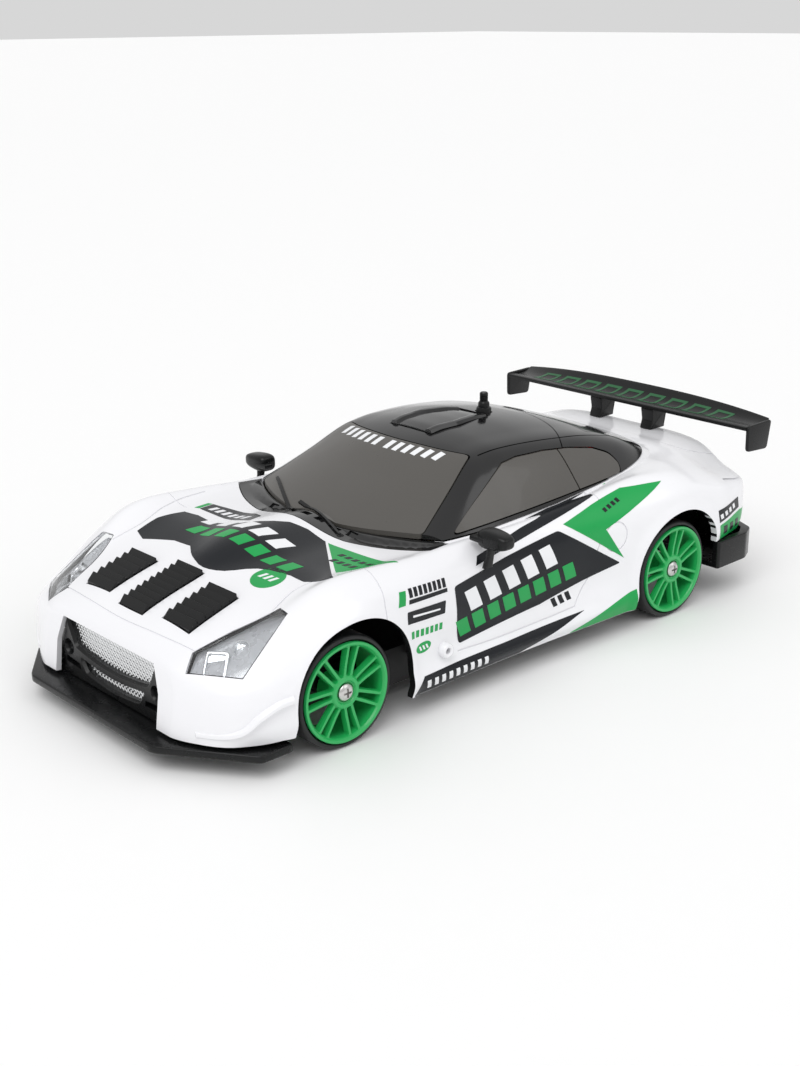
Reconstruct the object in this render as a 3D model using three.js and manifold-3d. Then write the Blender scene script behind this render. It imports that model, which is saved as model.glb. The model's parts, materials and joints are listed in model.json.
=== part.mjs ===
// A toy-grade rc drift car: a thin moulded body on a four-wheel-drive chassis with a locked drivetrain.
// Millimetres. +X is forward, +Y is the car's left, +Z is up. The wheels stand on z = 0, the origin is on
// the ground below the middle of the car.
import * as THREE from "three";
import { mergeVertices } from "three/addons/utils/BufferGeometryUtils.js";
import Module from "manifold-3d";

const wasm = await Module();
wasm.setup();

// ---------------------------------------------------------------- driving dimensions
const GAP = 0.3; // clearance between neighbouring pieces
const WALL = 1.2; // thickness of the moulded body and windows
const FRONT_AXLE_X = 56.8;
const REAR_AXLE_X = -55.8;
const TYRE_RADIUS = 13.04;
const AXLE_Z = TYRE_RADIUS;
const TYRE_INNER_Y = 35.2;
const TYRE_OUTER_Y = 44.2;
const RIM_FACE_Y = 44.7;
const RIM_LIP_RADIUS = 11.6;
const RIM_BARREL_RADIUS = 11.0;
const SPOKE_PAIRS = 7;
const AXLE_RADIUS = 1.5;
const ARCH_RADIUS = 16.8;
const ARCHES = [
  { x: 54.6, z: 13.0, radius: ARCH_RADIUS },
  { x: -56.5, z: 13.2, radius: ARCH_RADIUS - 0.4 },
];
const REAR_END_X = -93;
const NOSE_X = 89.5;
const KINGPIN_Y = 30.5;
const STEER_ARM_X = FRONT_AXLE_X - 10.6; // the pin on the steering arm
const ARM_PIN_Y = 28.6;
const CHASSIS_BOTTOM = 4.0;
const CHASSIS_FLOOR = 5.2;
const SHAFT_Z = AXLE_Z;
const MOTOR_Y = -9.9;
const SPLITTER_BOTTOM = 4.4;
const SPLITTER_TOP = 6.2;
const WING_FRONT_X = -84.4;
const WING_REAR_X = -94.9;
const WING_HALF_SPAN = 45;

// Lines that run along the body, from rear to front, each knot as [x, y, z]. A half section of the body
// passes through them in this order, from the sill up and over to the middle of the deck.
const BODY_LINES = [
  // bottom edge
  [[-93, 36, 17], [-89, 40.5, 17], [-80, 43.6, 17], [-73, 44.8, 17], [-39, 44.2, 6], [0, 43.4, 5.8],
    [36.5, 44, 5.7], [71.6, 44.2, 7.4], [80, 41.5, 7.2], [86, 35.5, 7.1], [89.5, 27, 7]],
  // bulge of the side skirt
  [[-93, 36.5, 20], [-89, 41.2, 19.5], [-80, 44.6, 19.5], [-73, 45.4, 19.5], [-39, 45.2, 9.5],
  [-20, 44.8, 8.8],
    [0, 44.6, 8.6], [20, 44.6, 8.6], [36.5, 45, 9], [71.6, 45.2, 10.5], [80, 42.3, 10.5], [86, 36.2, 10.5],
    [89.5, 27.5, 10.5]],
  // top of the side skirt
  [[-93, 36.6, 23], [-89, 41.5, 22.5], [-80, 44.8, 22.5], [-73, 45.8, 22], [-39, 45, 12.5], [-20, 43.4, 12],
    [0, 42.7, 11.8], [20, 43, 11.8], [36.5, 44.4, 12.5], [71.6, 45.2, 13.5], [80, 42.4, 13.6],
    [86, 36.4, 13.6],
    [89.5, 27.6, 13.6]],
  // hollow along the foot of the door
  [[-93, 36.6, 25.6], [-89, 41.6, 25.6], [-80, 44.8, 25.6], [-73, 46, 25.2], [-39, 44.8, 17],
  [-20, 42.4, 16],
    [0, 41.8, 15.5], [20, 42.2, 15.5], [36.5, 44.3, 17], [71.6, 45.1, 16.8], [80, 42.3, 16.8],
    [86, 36.3, 16.6],
    [89.5, 27.5, 16.5]],
  // middle of the door, and the lips of the flares
  [[-93, 36.4, 28], [-89, 41.4, 28.2], [-80, 44.6, 28.6], [-73, 45.8, 28.5], [-56.5, 46, 30.5],
  [-39, 44.8, 25],
    [-20, 43, 24], [0, 42.6, 23.5], [20, 43, 23.5], [36.5, 44.6, 25], [54, 45.8, 30.4], [71.6, 44.4, 22],
    [80, 41.6, 19.8], [86, 35.6, 18.8], [89.5, 27.2, 18.5]],
  // shoulder
  [[-93, 36, 29.5], [-89, 40.8, 30], [-80, 43.8, 30.8], [-73, 45, 31.8], [-56.5, 45, 34.5], [-39, 43.8, 33],
    [-20, 42.2, 32], [0, 41.6, 31.2], [20, 42, 31.6], [36.5, 43.6, 32.6], [54, 44.3, 33.6], [64, 43.2, 30],
    [71.6, 41.6, 26], [80, 38.5, 22], [86, 33, 20.6], [89.5, 26.6, 20]],
  // crest of the fenders and the belt under the windows
  [[-93, 34.5, 30.6], [-89, 39, 31], [-80, 41.5, 32], [-73, 42.2, 33.8], [-56.5, 41, 38], [-45, 38.8, 38.8],
    [-30, 38.2, 37.4], [0, 38, 35.8], [20, 38, 35.6], [36.5, 38.8, 36.4], [50, 38.5, 37.1], [58, 38, 35.9],
    [65.6, 37, 32.2], [71.6, 36, 28.6], [77, 34.5, 25.6], [82, 32.5, 23.4], [86, 30, 22],
    [89.5, 25.5, 21.2]],
  // edge of the hood and of the boot lid
  [[-93, 31, 32], [-89, 34.5, 32.5], [-80, 35, 34], [-73, 35.5, 36.5], [-56.5, 35, 39], [-45, 34.5, 38.6],
    [-30, 34, 37], [0, 34, 35.4], [20, 34.5, 35.6], [36.5, 33.5, 35.4], [50, 32.5, 35.4], [58, 32, 34.2],
    [65.6, 31, 31.4], [71.6, 30, 28.8], [77, 28.5, 26.8], [82, 27, 25], [86, 25.5, 23.4], [89.5, 24, 21.9]],
  // middle of each half of the deck
  [[-93, 22, 35], [-91, 24, 37.2], [-88, 25, 37.8], [-80, 25, 38.2], [-73, 25, 39.2], [-56.5, 22, 39],
    [-30, 20, 36.6], [0, 20, 34.8], [26, 20, 34.9], [36.5, 19, 35.2], [50, 18, 34.9], [60, 17.5, 33.3],
    [66, 17, 31.6], [77, 15.5, 28.4], [82, 14.5, 26.6], [86, 13.5, 24.6], [89.5, 12.5, 22.3]],
  // centre line
  [[-93, 0, 36.2], [-91, 0, 38.4], [-88, 0, 38.8], [-80, 0, 38.8], [-73, 0, 39.6], [-56.5, 0, 38.6],
    [-30, 0, 36.6], [0, 0, 34.8], [26, 0, 34.9], [36.5, 0, 35.3], [50, 0, 35.1], [60, 0, 33.6],
    [66, 0, 31.7], [77, 0, 28.4], [82, 0, 26.6], [86, 0, 24.7], [89.5, 0, 22.4]],
];
const BODY_STATIONS = [-93, -91, -88, -82, -73, -64, -56, -48, -39, -25, 0, 20, 34, 44, 54, 63, 71, 77, 82,
  86, 89.5];

// Lines of the cabin: the foot of its side, the corner where side meets roof, and the middle of the roof.
const CABIN_FOOT = [[-78, 29, 33], [-60, 34, 33], [-47, 35.8, 33], [-20, 37.4, 33], [0, 37.9, 33],
  [20, 37.6, 33],
  [33, 38.4, 33]];
const CABIN_CORNER = [[-78, 21, 34.8], [-70, 24, 38.5], [-60, 26.2, 42.8], [-50, 27.6, 46], [-40, 27.8, 48],
  [-30, 27.2, 49.2], [-20, 26.6, 49.9], [-10, 25.6, 50.2], [-2.6, 24.9, 49.6], [8, 27.8, 43.9],
  [22, 32.4, 36.3], [33, 36.4, 30.3]];
const CABIN_MIDDLE = [[-78, 0, 37.6], [-74, 0, 39.6], [-66, 0, 42.6], [-59, 0, 45.2], [-50, 0, 48.2],
  [-40, 0, 51],
  [-30, 0, 52.7], [-20, 0, 53.5], [-10, 0, 53.4], [-2, 0, 52.4], [3, 0, 51.1], [15, 0, 44.8], [28, 0, 37.2],
  [33, 0, 34]];
const CABIN_STATIONS = [-78, -73, -66, -58, -49, -40, -30, -20, -10, -2.6, 3, 12, 22, 33];

// ---------------------------------------------------------------- finishes
const finish = (color, roughness, metalness = 0, extra = {}) =>
  new THREE.MeshStandardMaterial({ color, roughness, metalness, ...extra });
const WHITE_GLOSS = finish(0xf2f2f4, 0.2);
const BLACK_GLOSS = finish(0x0d0e10, 0.12);
const BLACK_SATIN = finish(0x18191b, 0.5);
const WINDOW_GREY = finish(0x544f4c, 0.35);
const CLEAR_LENS = finish(0xe8edf0, 0.05, 0, { transparent: true, opacity: 0.4 });
const CHROME = finish(0xd8d8da, 0.1, 1);
const RED_LENS = finish(0xa01018, 0.15);
const WHEEL_GREEN = finish(0x1fae52, 0.35);
const TYRE_BLACK = finish(0x151515, 0.6);
const STEEL = finish(0xb8b8ba, 0.3, 1);
const BRASS = finish(0xc8a24c, 0.35, 1);
const CHASSIS_BLACK = finish(0x1d1e20, 0.6);
const NYLON = finish(0xdcdad2, 0.5);
const BOARD_GREEN = finish(0x14562c, 0.5);
const CELL_BLUE = finish(0x2b5fb4, 0.4);

const car = new THREE.Group();

// ---------------------------------------------------------------- solids
// A closed three.js geometry as a solid for joining and cutting.
function solidOf(geometry) {
  const bare = geometry.clone();
  bare.deleteAttribute("normal");
  bare.deleteAttribute("uv");
  const merged = mergeVertices(bare, 1e-4);
  const vertProperties = merged.attributes.position.array;
  const triVerts = new Uint32Array(merged.index.array);
  return new wasm.Manifold(new wasm.Mesh({ numProp: 3, vertProperties, triVerts }));
}

const join = (first, ...rest) => rest.reduce((whole, piece) => whole.add(piece), first);
const cut = (first, ...rest) => rest.reduce((whole, piece) => whole.subtract(piece), first);

// Adds a named mesh of the solid to the car.
function place(name, solid, material) {
  const mesh = solid.getMesh();
  const points = new Float32Array(mesh.numVert * 3);
  for (let i = 0; i < mesh.numVert; i++) {
    points.set(mesh.vertProperties.subarray(i * mesh.numProp, i * mesh.numProp + 3), i * 3);
  }
  const geometry = new THREE.BufferGeometry();
  geometry.setAttribute("position", new THREE.BufferAttribute(points, 3));
  geometry.setIndex(new THREE.BufferAttribute(mesh.triVerts, 1));
  geometry.computeVertexNormals();
  const made = new THREE.Mesh(geometry, material);
  made.name = name;
  car.add(made);
}

function box(x, y, z) {
  const geometry = new THREE.BoxGeometry(x[1] - x[0], y[1] - y[0], z[1] - z[0]);
  geometry.translate((x[0] + x[1]) / 2, (y[0] + y[1]) / 2, (z[0] + z[1]) / 2);
  return solidOf(geometry);
}

// A y span on the left of the car, or its mirror image on the right.
const spanY = (side, from, to) => (side > 0 ? [from, to] : [-to, -from]);

const UPRIGHT = new THREE.Matrix4();
const ALONG_Y = new THREE.Matrix4().set(1, 0, 0, 0, 0, 0, -1, 0, 0, 1, 0, 0, 0, 0, 0, 1);
const ALONG_X = new THREE.Matrix4().set(0, 0, 1, 0, 1, 0, 0, 0, 0, 1, 0, 0, 0, 0, 0, 1);

// An outline extruded between two heights. Its points are (x, y), (x, z) or (y, z).
function extruded(points, from, to, matrix) {
  const shape = new THREE.Shape(points.map((p) => new THREE.Vector2(...p)));
  const geometry = new THREE.ExtrudeGeometry(shape, { depth: to - from, bevelEnabled: false });
  geometry.translate(0, 0, from);
  geometry.applyMatrix4(matrix);
  return solidOf(geometry);
}
const upright = (points, from, to) => extruded(points, from, to, UPRIGHT);
const across = (points, from, to) => extruded(points, -to, -from, ALONG_Y);
const lengthwise = (points, from, to) => extruded(points, from, to, ALONG_X);

// A turned piece about a line along Y, X or Z. Profile points are (radius, distance along the line).
function turned(profile, axis, at, sides) {
  const closed = profile[0][0] > 0 ? [...profile, profile[0]] : profile;
  const points = closed.map((p) => new THREE.Vector2(...p));
  const geometry = new THREE.LatheGeometry(points, sides, Math.PI / sides);
  if (axis === "x") geometry.rotateZ(-Math.PI / 2);
  if (axis === "z") geometry.rotateX(Math.PI / 2);
  geometry.translate(...at);
  return solidOf(geometry);
}

function rod(axis, at, radius, from, to, sides = 16) {
  return turned([[0, from], [radius, from], [radius, to], [0, to]], axis, at, sides);
}

// Steffen's interpolation through [x, y, z] knots: smooth, and without overshoot.
function alongLine(knots, x) {
  const last = knots.length - 1;
  if (x <= knots[0][0]) return knots[0].slice(1);
  if (x >= knots[last][0]) return knots[last].slice(1);
  const i = knots.findIndex((knot, n) => n < last && x < knots[n + 1][0]);
  const rise = (n, c) => (knots[n + 1][c] - knots[n][c]) / (knots[n + 1][0] - knots[n][0]);
  const slope = (n, c) => {
    if (n === 0) return rise(0, c);
    if (n === last) return rise(last - 1, c);
    const before = rise(n - 1, c);
    const after = rise(n, c);
    const lengthBefore = knots[n][0] - knots[n - 1][0];
    const lengthAfter = knots[n + 1][0] - knots[n][0];
    const mean = (before * lengthAfter + after * lengthBefore) / (lengthBefore + lengthAfter);
    const least = Math.min(Math.abs(before), Math.abs(after), Math.abs(mean) / 2);
    return (Math.sign(before) + Math.sign(after)) * least;
  };
  const h = knots[i + 1][0] - knots[i][0];
  const t = (x - knots[i][0]) / h;
  return [1, 2].map((c) => {
    const stretch = h * (slope(i, c) + slope(i + 1, c) - 2 * rise(i, c));
    const bend = h * (3 * rise(i, c) - 2 * slope(i, c) - slope(i + 1, c));
    return knots[i][c] + t * (h * slope(i, c) + t * (bend + t * stretch));
  });
}

// A whole section from its left half: a smooth curve through the points and their mirror images.
function wholeSection(half, steps) {
  const right = half.slice(0, -1).reverse().map(([y, z]) => [-y, z]);
  const points = [...half, ...right].map(([y, z]) => new THREE.Vector3(0, y, z));
  const curve = new THREE.CatmullRomCurve3(points, false, "centripetal");
  const count = (points.length - 1) * steps;
  return Array.from({ length: count + 1 }, (_, i) => curve.getPoint(i / count));
}

// Moves each point of a section inwards by a distance, and drops its two feet to leave the bottom open.
function insetSection(points, distance) {
  if (!distance) return points;
  const last = points.length - 1;
  return points.map((point, i) => {
    const along = new THREE.Vector3().subVectors(points[Math.min(i + 1, last)], points[Math.max(i - 1, 0)]);
    along.normalize();
    const moved = new THREE.Vector3(0, point.y - along.z * distance, point.z + along.y * distance);
    if (i === 0 || i === last) moved.z -= 4;
    return moved;
  });
}

// A fan of triangles over a convex ring.
const fan = (ring) => Array.from({ length: ring.length - 2 }, (_, i) => [0, i + 1, i + 2]);

// Triangles over a section that lies across the car.
const sectionCap = (ring) =>
  THREE.ShapeUtils.triangulateShape(ring.map((p) => new THREE.Vector2(p.y, p.z)), []);

// Closes a row of rings with the same number of points into one solid.
function loft(rings, cap = fan) {
  const size = rings[0].length;
  const faces = [];
  for (let s = 0; s < rings.length - 1; s++) {
    for (let i = 0; i < size; i++) {
      const a = s * size + i;
      const b = s * size + ((i + 1) % size);
      faces.push([a, b, a + size], [b, b + size, a + size]);
    }
  }
  const corners = cap(rings[0]);
  const windsBack = corners.some((t) => t.some((k, i) => t[(i + 1) % 3] === (k + 1) % size));
  const end = size * (rings.length - 1);
  corners.forEach(([a, b, c]) => {
    const facing = windsBack ? [c, b, a] : [a, b, c];
    faces.push(facing, facing.map((k) => k + end).reverse());
  });
  const points = rings.flat().flatMap((p) => p.toArray());
  const build = (list) => {
    const geometry = new THREE.BufferGeometry();
    geometry.setAttribute("position", new THREE.Float32BufferAttribute(points, 3));
    geometry.setIndex(list.flat());
    return solidOf(geometry);
  };
  const made = build(faces);
  return made.volume() > 0 ? made : build(faces.map((t) => [...t].reverse()));
}

// The nose leans back towards its top.
function leanNose(point) {
  const share = THREE.MathUtils.clamp((point.x - 78) / (NOSE_X - 78), 0, 1);
  point.x += share * share * (15 - point.z) * 0.13;
  return point;
}

// The power bulge on the hood, as a height added to the deck.
function hoodBulge(x, y) {
  const length = THREE.MathUtils.clamp((63 - x) / 14, 0, 1) * THREE.MathUtils.clamp((x - 18) / 10, 0, 1);
  const width = THREE.MathUtils.clamp(1 - Math.abs(y) / (6 + 12 * length), 0, 1);
  return 2.6 * Math.sqrt(length) * width * width * (3 - 2 * width);
}

// The outer form of the lower body, less a skin of the given thickness.
function bodyForm(inset) {
  const ends = [REAR_END_X + inset, NOSE_X - inset];
  const between = BODY_STATIONS.filter((x) => x > ends[0] + 0.3 && x < ends[1] - 0.3);
  const sections = [ends[0], ...between, ends[1]].map((x) => {
    const half = BODY_LINES.map((line) => alongLine(line, x));
    const section = insetSection(wholeSection(half, 1), inset);
    const raised = (p) => (p.z > 30 ? p.z + hoodBulge(x, p.y) : p.z);
    return section.map((p) => leanNose(new THREE.Vector3(x, p.y, raised(p))));
  });
  return loft(sections, sectionCap);
}

function cabinHalf(x) {
  const [footY, footZ] = alongLine(CABIN_FOOT, x);
  const [cornerY, cornerZ] = alongLine(CABIN_CORNER, x);
  const [, middleZ] = alongLine(CABIN_MIDDLE, x);
  const side = (share, bulge) => [footY + (cornerY - footY) * share + bulge,
    footZ + (cornerZ - footZ) * share];
  const roof = (share) => [cornerY * share, cornerZ + (middleZ - cornerZ) * (1 - share ** 2.2)];
  return [side(0, 0), side(0.45, 0.5), side(0.88, 0.2), roof(0.93), roof(0.66), roof(0.33), [0, middleZ]];
}

function cabinForm(inset) {
  const steps = inset ? 1 : 2;
  const sections = CABIN_STATIONS.map((x) => {
    const section = insetSection(wholeSection(cabinHalf(x), steps), inset);
    return section.map((p) => new THREE.Vector3(x, p.y, p.z));
  });
  return loft(sections, sectionCap);
}

const outerForm = bodyForm(0).add(cabinForm(0));
const skin = cut(outerForm, bodyForm(WALL).add(cabinForm(WALL)));

// ---------------------------------------------------------------- outlines on the skin
const curveAcross = (half, count, pointAt) =>
  Array.from({ length: count + 1 }, (_, i) => pointAt(half - (2 * half * i) / count));

// Plan outlines. Each grows outwards by a margin, which leaves the gap between neighbours.
function windscreenPlan(margin) {
  const top = curveAcross(22.4 + margin, 4, (y) => [3 - 5.6 * (y / 24.5) ** 2 - margin, y]);
  const foot = curveAcross(30.2 + margin, 6, (y) => [29.4 - 8.6 * Math.abs(y / 31) ** 2.2 + margin, y]);
  return [...top, ...foot.reverse()];
}

function cowlPlan(margin) {
  const back = curveAcross(35.4 + margin, 6, (y) => [29.4 - 8.6 * Math.abs(y / 31) ** 2.2 + GAP - margin,
    y]);
  const front = curveAcross(36.4 + margin, 6, (y) => [35.2 - 9.5 * Math.abs(y / 35) ** 2.4 + margin, y]);
  return [...back, ...front.reverse()];
}

function rearWindowPlan(margin) {
  const top = curveAcross(22.8 + margin, 4, (y) => [-47 + 3.5 * (y / 24) ** 2 + margin, y]);
  const foot = curveAcross(20.5 + margin, 4, (y) => [-72.4 + 4 * (y / 24) ** 2 - margin, y]);
  return [...foot, ...top.reverse()];
}

// Side outlines, as (x, z).
function sideWindowOutline(margin) {
  const m = margin;
  return [[15.2 + 2 * m, 36.8 - m], [-46.6 - m, 39.2 - m], [-47 - m, 41.2], [-44.6 - m, 44 + m],
    [-39 - m, 46.2 + m], [-31, 47.6 + m], [-22, 48.4 + m], [-13, 48.5 + m], [-8, 47.9 + m]];
}

// Everything on the roof side of the belt, back to the foot of the rear pillars.
function roofOutline(margin) {
  const m = margin;
  return [[23.5, 36.2 - m], [5, 36.2 - m], [-20, 37.2 - m], [-47, 39.1 - m], [-58, 40.2 - m],
    [-67 - m, 41.6 - m],
    [-71.2 - m, 43 - m], [-73 - m, 60], [30, 60], [30, 36.2 - m]];
}

// The roof ends at the belt, just inside the foot of the cabin.
function roofRegion(margin) {
  const edge = CABIN_FOOT.map(([x, y]) => [x, y - 0.8 + margin]);
  const plan = [...edge, ...edge.map(([x, y]) => [x, -y]).reverse()].reverse();
  return across(roofOutline(margin), -60, 60).intersect(upright(plan, 30, 62));
}

// The outline of a headlight, seen along its aim.
const HEADLIGHT_AIM = new THREE.Vector3(0.6, 0.45, 0.66).normalize();
const HEADLIGHT_CORNERS = [
  [85.2, 27, 19.8], [84.2, 26.6, 25.6], [75.4, 29, 28.2], [65.2, 32.6, 31.2], [66.2, 36.4, 31.4],
  [79.4, 38.2, 21],
];

// A prism through the bumper corner along the headlight's aim.
function headlightPrism(side, grow, from, to) {
  const corners = HEADLIGHT_CORNERS.map((c) => new THREE.Vector3(...c));
  const middle = corners.reduce((sum, c) => sum.add(c), new THREE.Vector3()).divideScalar(corners.length);
  const spread = corners.map((c) => c.clone().add(c.clone().sub(middle).setLength(grow)));
  const ring = (distance) =>
    spread.map((c) => c.clone().addScaledVector(HEADLIGHT_AIM, distance)).map((c) => c.setY(c.y * side));
  return loft([ring(from), ring(to)]);
}

const GRILLE_OUTLINE = (m, foot) => [[-20.9 - m, foot], [20.9 + m, foot], [20.9 + m, 15],
  [18.6 + m, 21.2 + m],
  [-18.6 - m, 21.2 + m], [-20.9 - m, 15]];

// Louvre sets on the hood: their middle line, half width, ends and number of slats.
const LOUVRES = [
  { name: "louvre_left", y: 15.7, half: 4.9, front: 80.6, rear: 67.6, slats: 6 },
  { name: "louvre_centre", y: 0, half: 4.7, front: 82, rear: 65.4, slats: 9 },
  { name: "louvre_right", y: -15.7, half: 4.9, front: 80.6, rear: 67.6, slats: 6 },
];
const louvrePlan = ({ y, half, front, rear }, m) => [[rear - m, y - half - m], [front + m, y - half - m],
  [front + m, y + half + m], [rear - m, y + half + m]];

const SCOOP_PLAN = (m) => [[-24 - m, -6.2 - m], [-12, -8.4 - m], [-3 + m, -7.6 - m], [-3 + m, 7.6 + m],
  [-12, 8.4 + m], [-24 - m, 6.2 + m]];
const ANTENNA = { x: -27, y: 2, foot: 51.4, top: 58.2 };
const TAIL_LAMPS = [{ y: 19, radius: 3.4 }, { y: 28.5, radius: 3.0 }];
const TAIL_LAMP_Z = 26;
const CLIP_BOSS = { x: 26.8, z: 14.1, radius: 1.8, hole: 0.7 };

const hoodHeight = (x) => alongLine(BODY_LINES[9], x)[1];

// ---------------------------------------------------------------- body
// A curved lip that climbs round the lower corner of the bumper to the wheel arch.
function canard(side) {
  const route = [[87.6, 30.6, 9.4], [84.6, 36.4, 9.9], [82, 40, 11.2], [79, 42.6, 14.4], [75.4, 43.9, 16.4],
    [71.9, 44.6, 17]];
  const rings = route.map(([x, y, z]) => {
    const out = new THREE.Vector3(0.35, 0.94 * side, 0);
    const middle = new THREE.Vector3(x, y * side, z);
    const corner = (share, height) => middle.clone().addScaledVector(out, share).setZ(z + height);
    return [corner(-1, 0.6), corner(1.5, 0.2), corner(1.5, -0.6), corner(-1, -0.6)];
  });
  return loft(rings);
}

// The ring round the hole for the clip that holds the body.
function clipBoss(side) {
  const { x, z, radius, hole } = CLIP_BOSS;
  const [from, to] = spanY(side, 42.8, 45.1);
  return cut(rod("y", [x, 0, z], radius, from, to, 14), rod("y", [x, 0, z], hole, -60, 60, 8));
}

function wheelArch({ x, z, radius }) {
  return join(rod("y", [x, 0, z], radius, -60, 60, 22), box([x - radius, x + radius], [-60, 60], [-5, z]));
}

function buildBody() {
  const roofWide = roofRegion(GAP);
  const screenWide = upright(windscreenPlan(GAP), 30, 60);
  const cowlWide = upright(cowlPlan(GAP), 30, 45);
  const rearWide = upright(rearWindowPlan(GAP), 30, 60);
  const clipHoles = rod("y", [CLIP_BOSS.x, 0, CLIP_BOSS.z], CLIP_BOSS.hole, -60, 60, 8);
  const lampHoles = [1, -1].flatMap((side) =>
    TAIL_LAMPS.map(({ y, radius }) => rod("x", [0, y * side, TAIL_LAMP_Z], radius + GAP, -96, -88, 14)));
  const shell = cut(
    skin, ...ARCHES.map(wheelArch), lengthwise(GRILLE_OUTLINE(0, 5), 78, 96), headlightPrism(1, GAP, -7, 14),
    headlightPrism(-1, GAP, -7, 14), ...LOUVRES.map((set) => upright(louvrePlan(set, GAP), 20, 45)),
    cowlWide, screenWide, roofWide, rearWide, clipHoles, ...lampHoles,
  );
  place("body_shell", join(shell, canard(1), canard(-1), clipBoss(1), clipBoss(-1)), WHITE_GLOSS);

  const sideGlass = [[15, 60], [-60, -15]];
  place("roof_panel", cut(
    skin.intersect(roofRegion(0)), screenWide, rearWide, cowlWide,
    ...sideGlass.map(([from, to]) => across(sideWindowOutline(GAP), from, to)),
    upright(SCOOP_PLAN(GAP), 40, 60),
    rod("z", [ANTENNA.x, ANTENNA.y, 0], 2 + GAP, 40, 60, 16),
  ), BLACK_GLOSS);
  place("windscreen", skin.intersect(upright(windscreenPlan(0), 30, 60)), WINDOW_GREY);
  place("rear_window", skin.intersect(upright(rearWindowPlan(0), 30, 60)), BLACK_GLOSS);
  place("cowl_panel", cut(skin.intersect(upright(cowlPlan(0), 30, 45)), screenWide, roofWide), BLACK_GLOSS);
  place("side_window_left", skin.intersect(across(sideWindowOutline(0), ...sideGlass[0])), WINDOW_GREY);
  place("side_window_right", skin.intersect(across(sideWindowOutline(0), ...sideGlass[1])), WINDOW_GREY);
}

function buildRoofTrim() {
  const profile = [[-24, 51.4], [-3, 50.2], [-3, 53.9], [-6, 54.2], [-14, 54.5], [-20, 54.3], [-24, 53.6]];
  place("roof_scoop", upright(SCOOP_PLAN(0), 40, 60).intersect(across(profile, -10, 10)), BLACK_GLOSS);
  const { x, y, foot, top } = ANTENNA;
  const steps = [[0, foot], [2, foot], [2, 54], [1.5, 54.3], [1.5, 55.4], [1.1, 55.8], [1.1, top - 0.2],
    [0.9, top], [0, top]];
  place("antenna", turned(steps, "z", [x, y, 0], 16), BLACK_SATIN);
}

// Slats like shingles, each one rising towards the rear.
function buildLouvres() {
  for (const set of LOUVRES) {
    const pitch = (set.front - set.rear) / set.slats;
    const teeth = Array.from({ length: set.slats }, (_, i) => set.front - i * pitch).flatMap((x) => [
      [x, hoodHeight(x) + 0.3], [x - pitch + 0.35, hoodHeight(x - pitch) + 1.1],
      [x - pitch, hoodHeight(x - pitch) + 1],
    ]);
    const under = [[set.rear, hoodHeight(set.rear) - 1.2], [set.front, hoodHeight(set.front) - 1.2]];
    place(set.name, across([...teeth, ...under], set.y - set.half, set.y + set.half), BLACK_SATIN);
  }
}

function buildFront() {
  const rounded = (half, low, high, sag) => {
    const foot = curveAcross(half * 0.82, 6, (y) => [y,
      low - sag * (1 - (y / (half * 0.82)) ** 2)]).reverse();
    return [...foot, [half, high], [-half, high]];
  };
  const lamps = [1, -1].map((side) => rod("x", [0, 17.9 * side, 13.6], 1.5, 80, 90, 14));
  const frame = cut(
    lengthwise(GRILLE_OUTLINE(-GAP, 6.5), 84, 88.2), lengthwise(rounded(16.4, 14.6, 20, 1.6), 80, 90),
    lengthwise(rounded(11.5, 9, 11.6, 0.6), 80, 90), ...lamps,
  );
  place("grille_frame", frame, BLACK_SATIN);
  place("grille_mesh", box([82.8, 83.7], [-18.6, 18.6], [8, 20.6]), CHROME);

  const edge = [[74.2, -34], [72, -40], [72, -45], [80.6, -45], [94, -26.4], [94.9, -24.6], [94.9, 24.6],
    [94, 26.4], [80.6, 45], [72, 45], [72, 40], [74.2, 34]];
  place("front_splitter", upright(edge, SPLITTER_BOTTOM, SPLITTER_TOP), BLACK_SATIN);

  const lensSkin = cut(bodyForm(0), bodyForm(0.8));
  const bowlSkin = cut(bodyForm(1.6), bodyForm(2.4));
  for (const [word, side] of [["left", 1], ["right", -1]]) {
    place("headlight_lens_" + word, lensSkin.intersect(headlightPrism(side, 0.01, -6, 14)), CLEAR_LENS);
    place("headlight_bowl_" + word, bowlSkin.intersect(headlightPrism(side, -0.6, -9, 12)), CHROME);
  }
}

function mirror(side) {
  const head = new THREE.SphereGeometry(1, 12, 7);
  head.scale(2.3, 4.4, 2);
  head.translate(11.6, 44.8 * side, 37.2);
  const corners = [[1.3, 0.7], [-1.3, 0.7], [-1.3, -0.7], [1.3, -0.7]];
  const stalk = loft([[11.6, 43.9, 37], [13, 43.3, 30.6]].map(([x, y, z]) =>
    corners.map(([a, b]) => new THREE.Vector3(x + a, (y + b) * side, z))));
  const arm = box([12, 14.4], spanY(side, 38.8, 43), [36.4, 37.8]);
  return join(solidOf(head), stalk, arm);
}

function buildMirrors() {
  place("mirror_left", mirror(1), BLACK_SATIN);
  place("mirror_right", mirror(-1), BLACK_SATIN);
}

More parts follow.
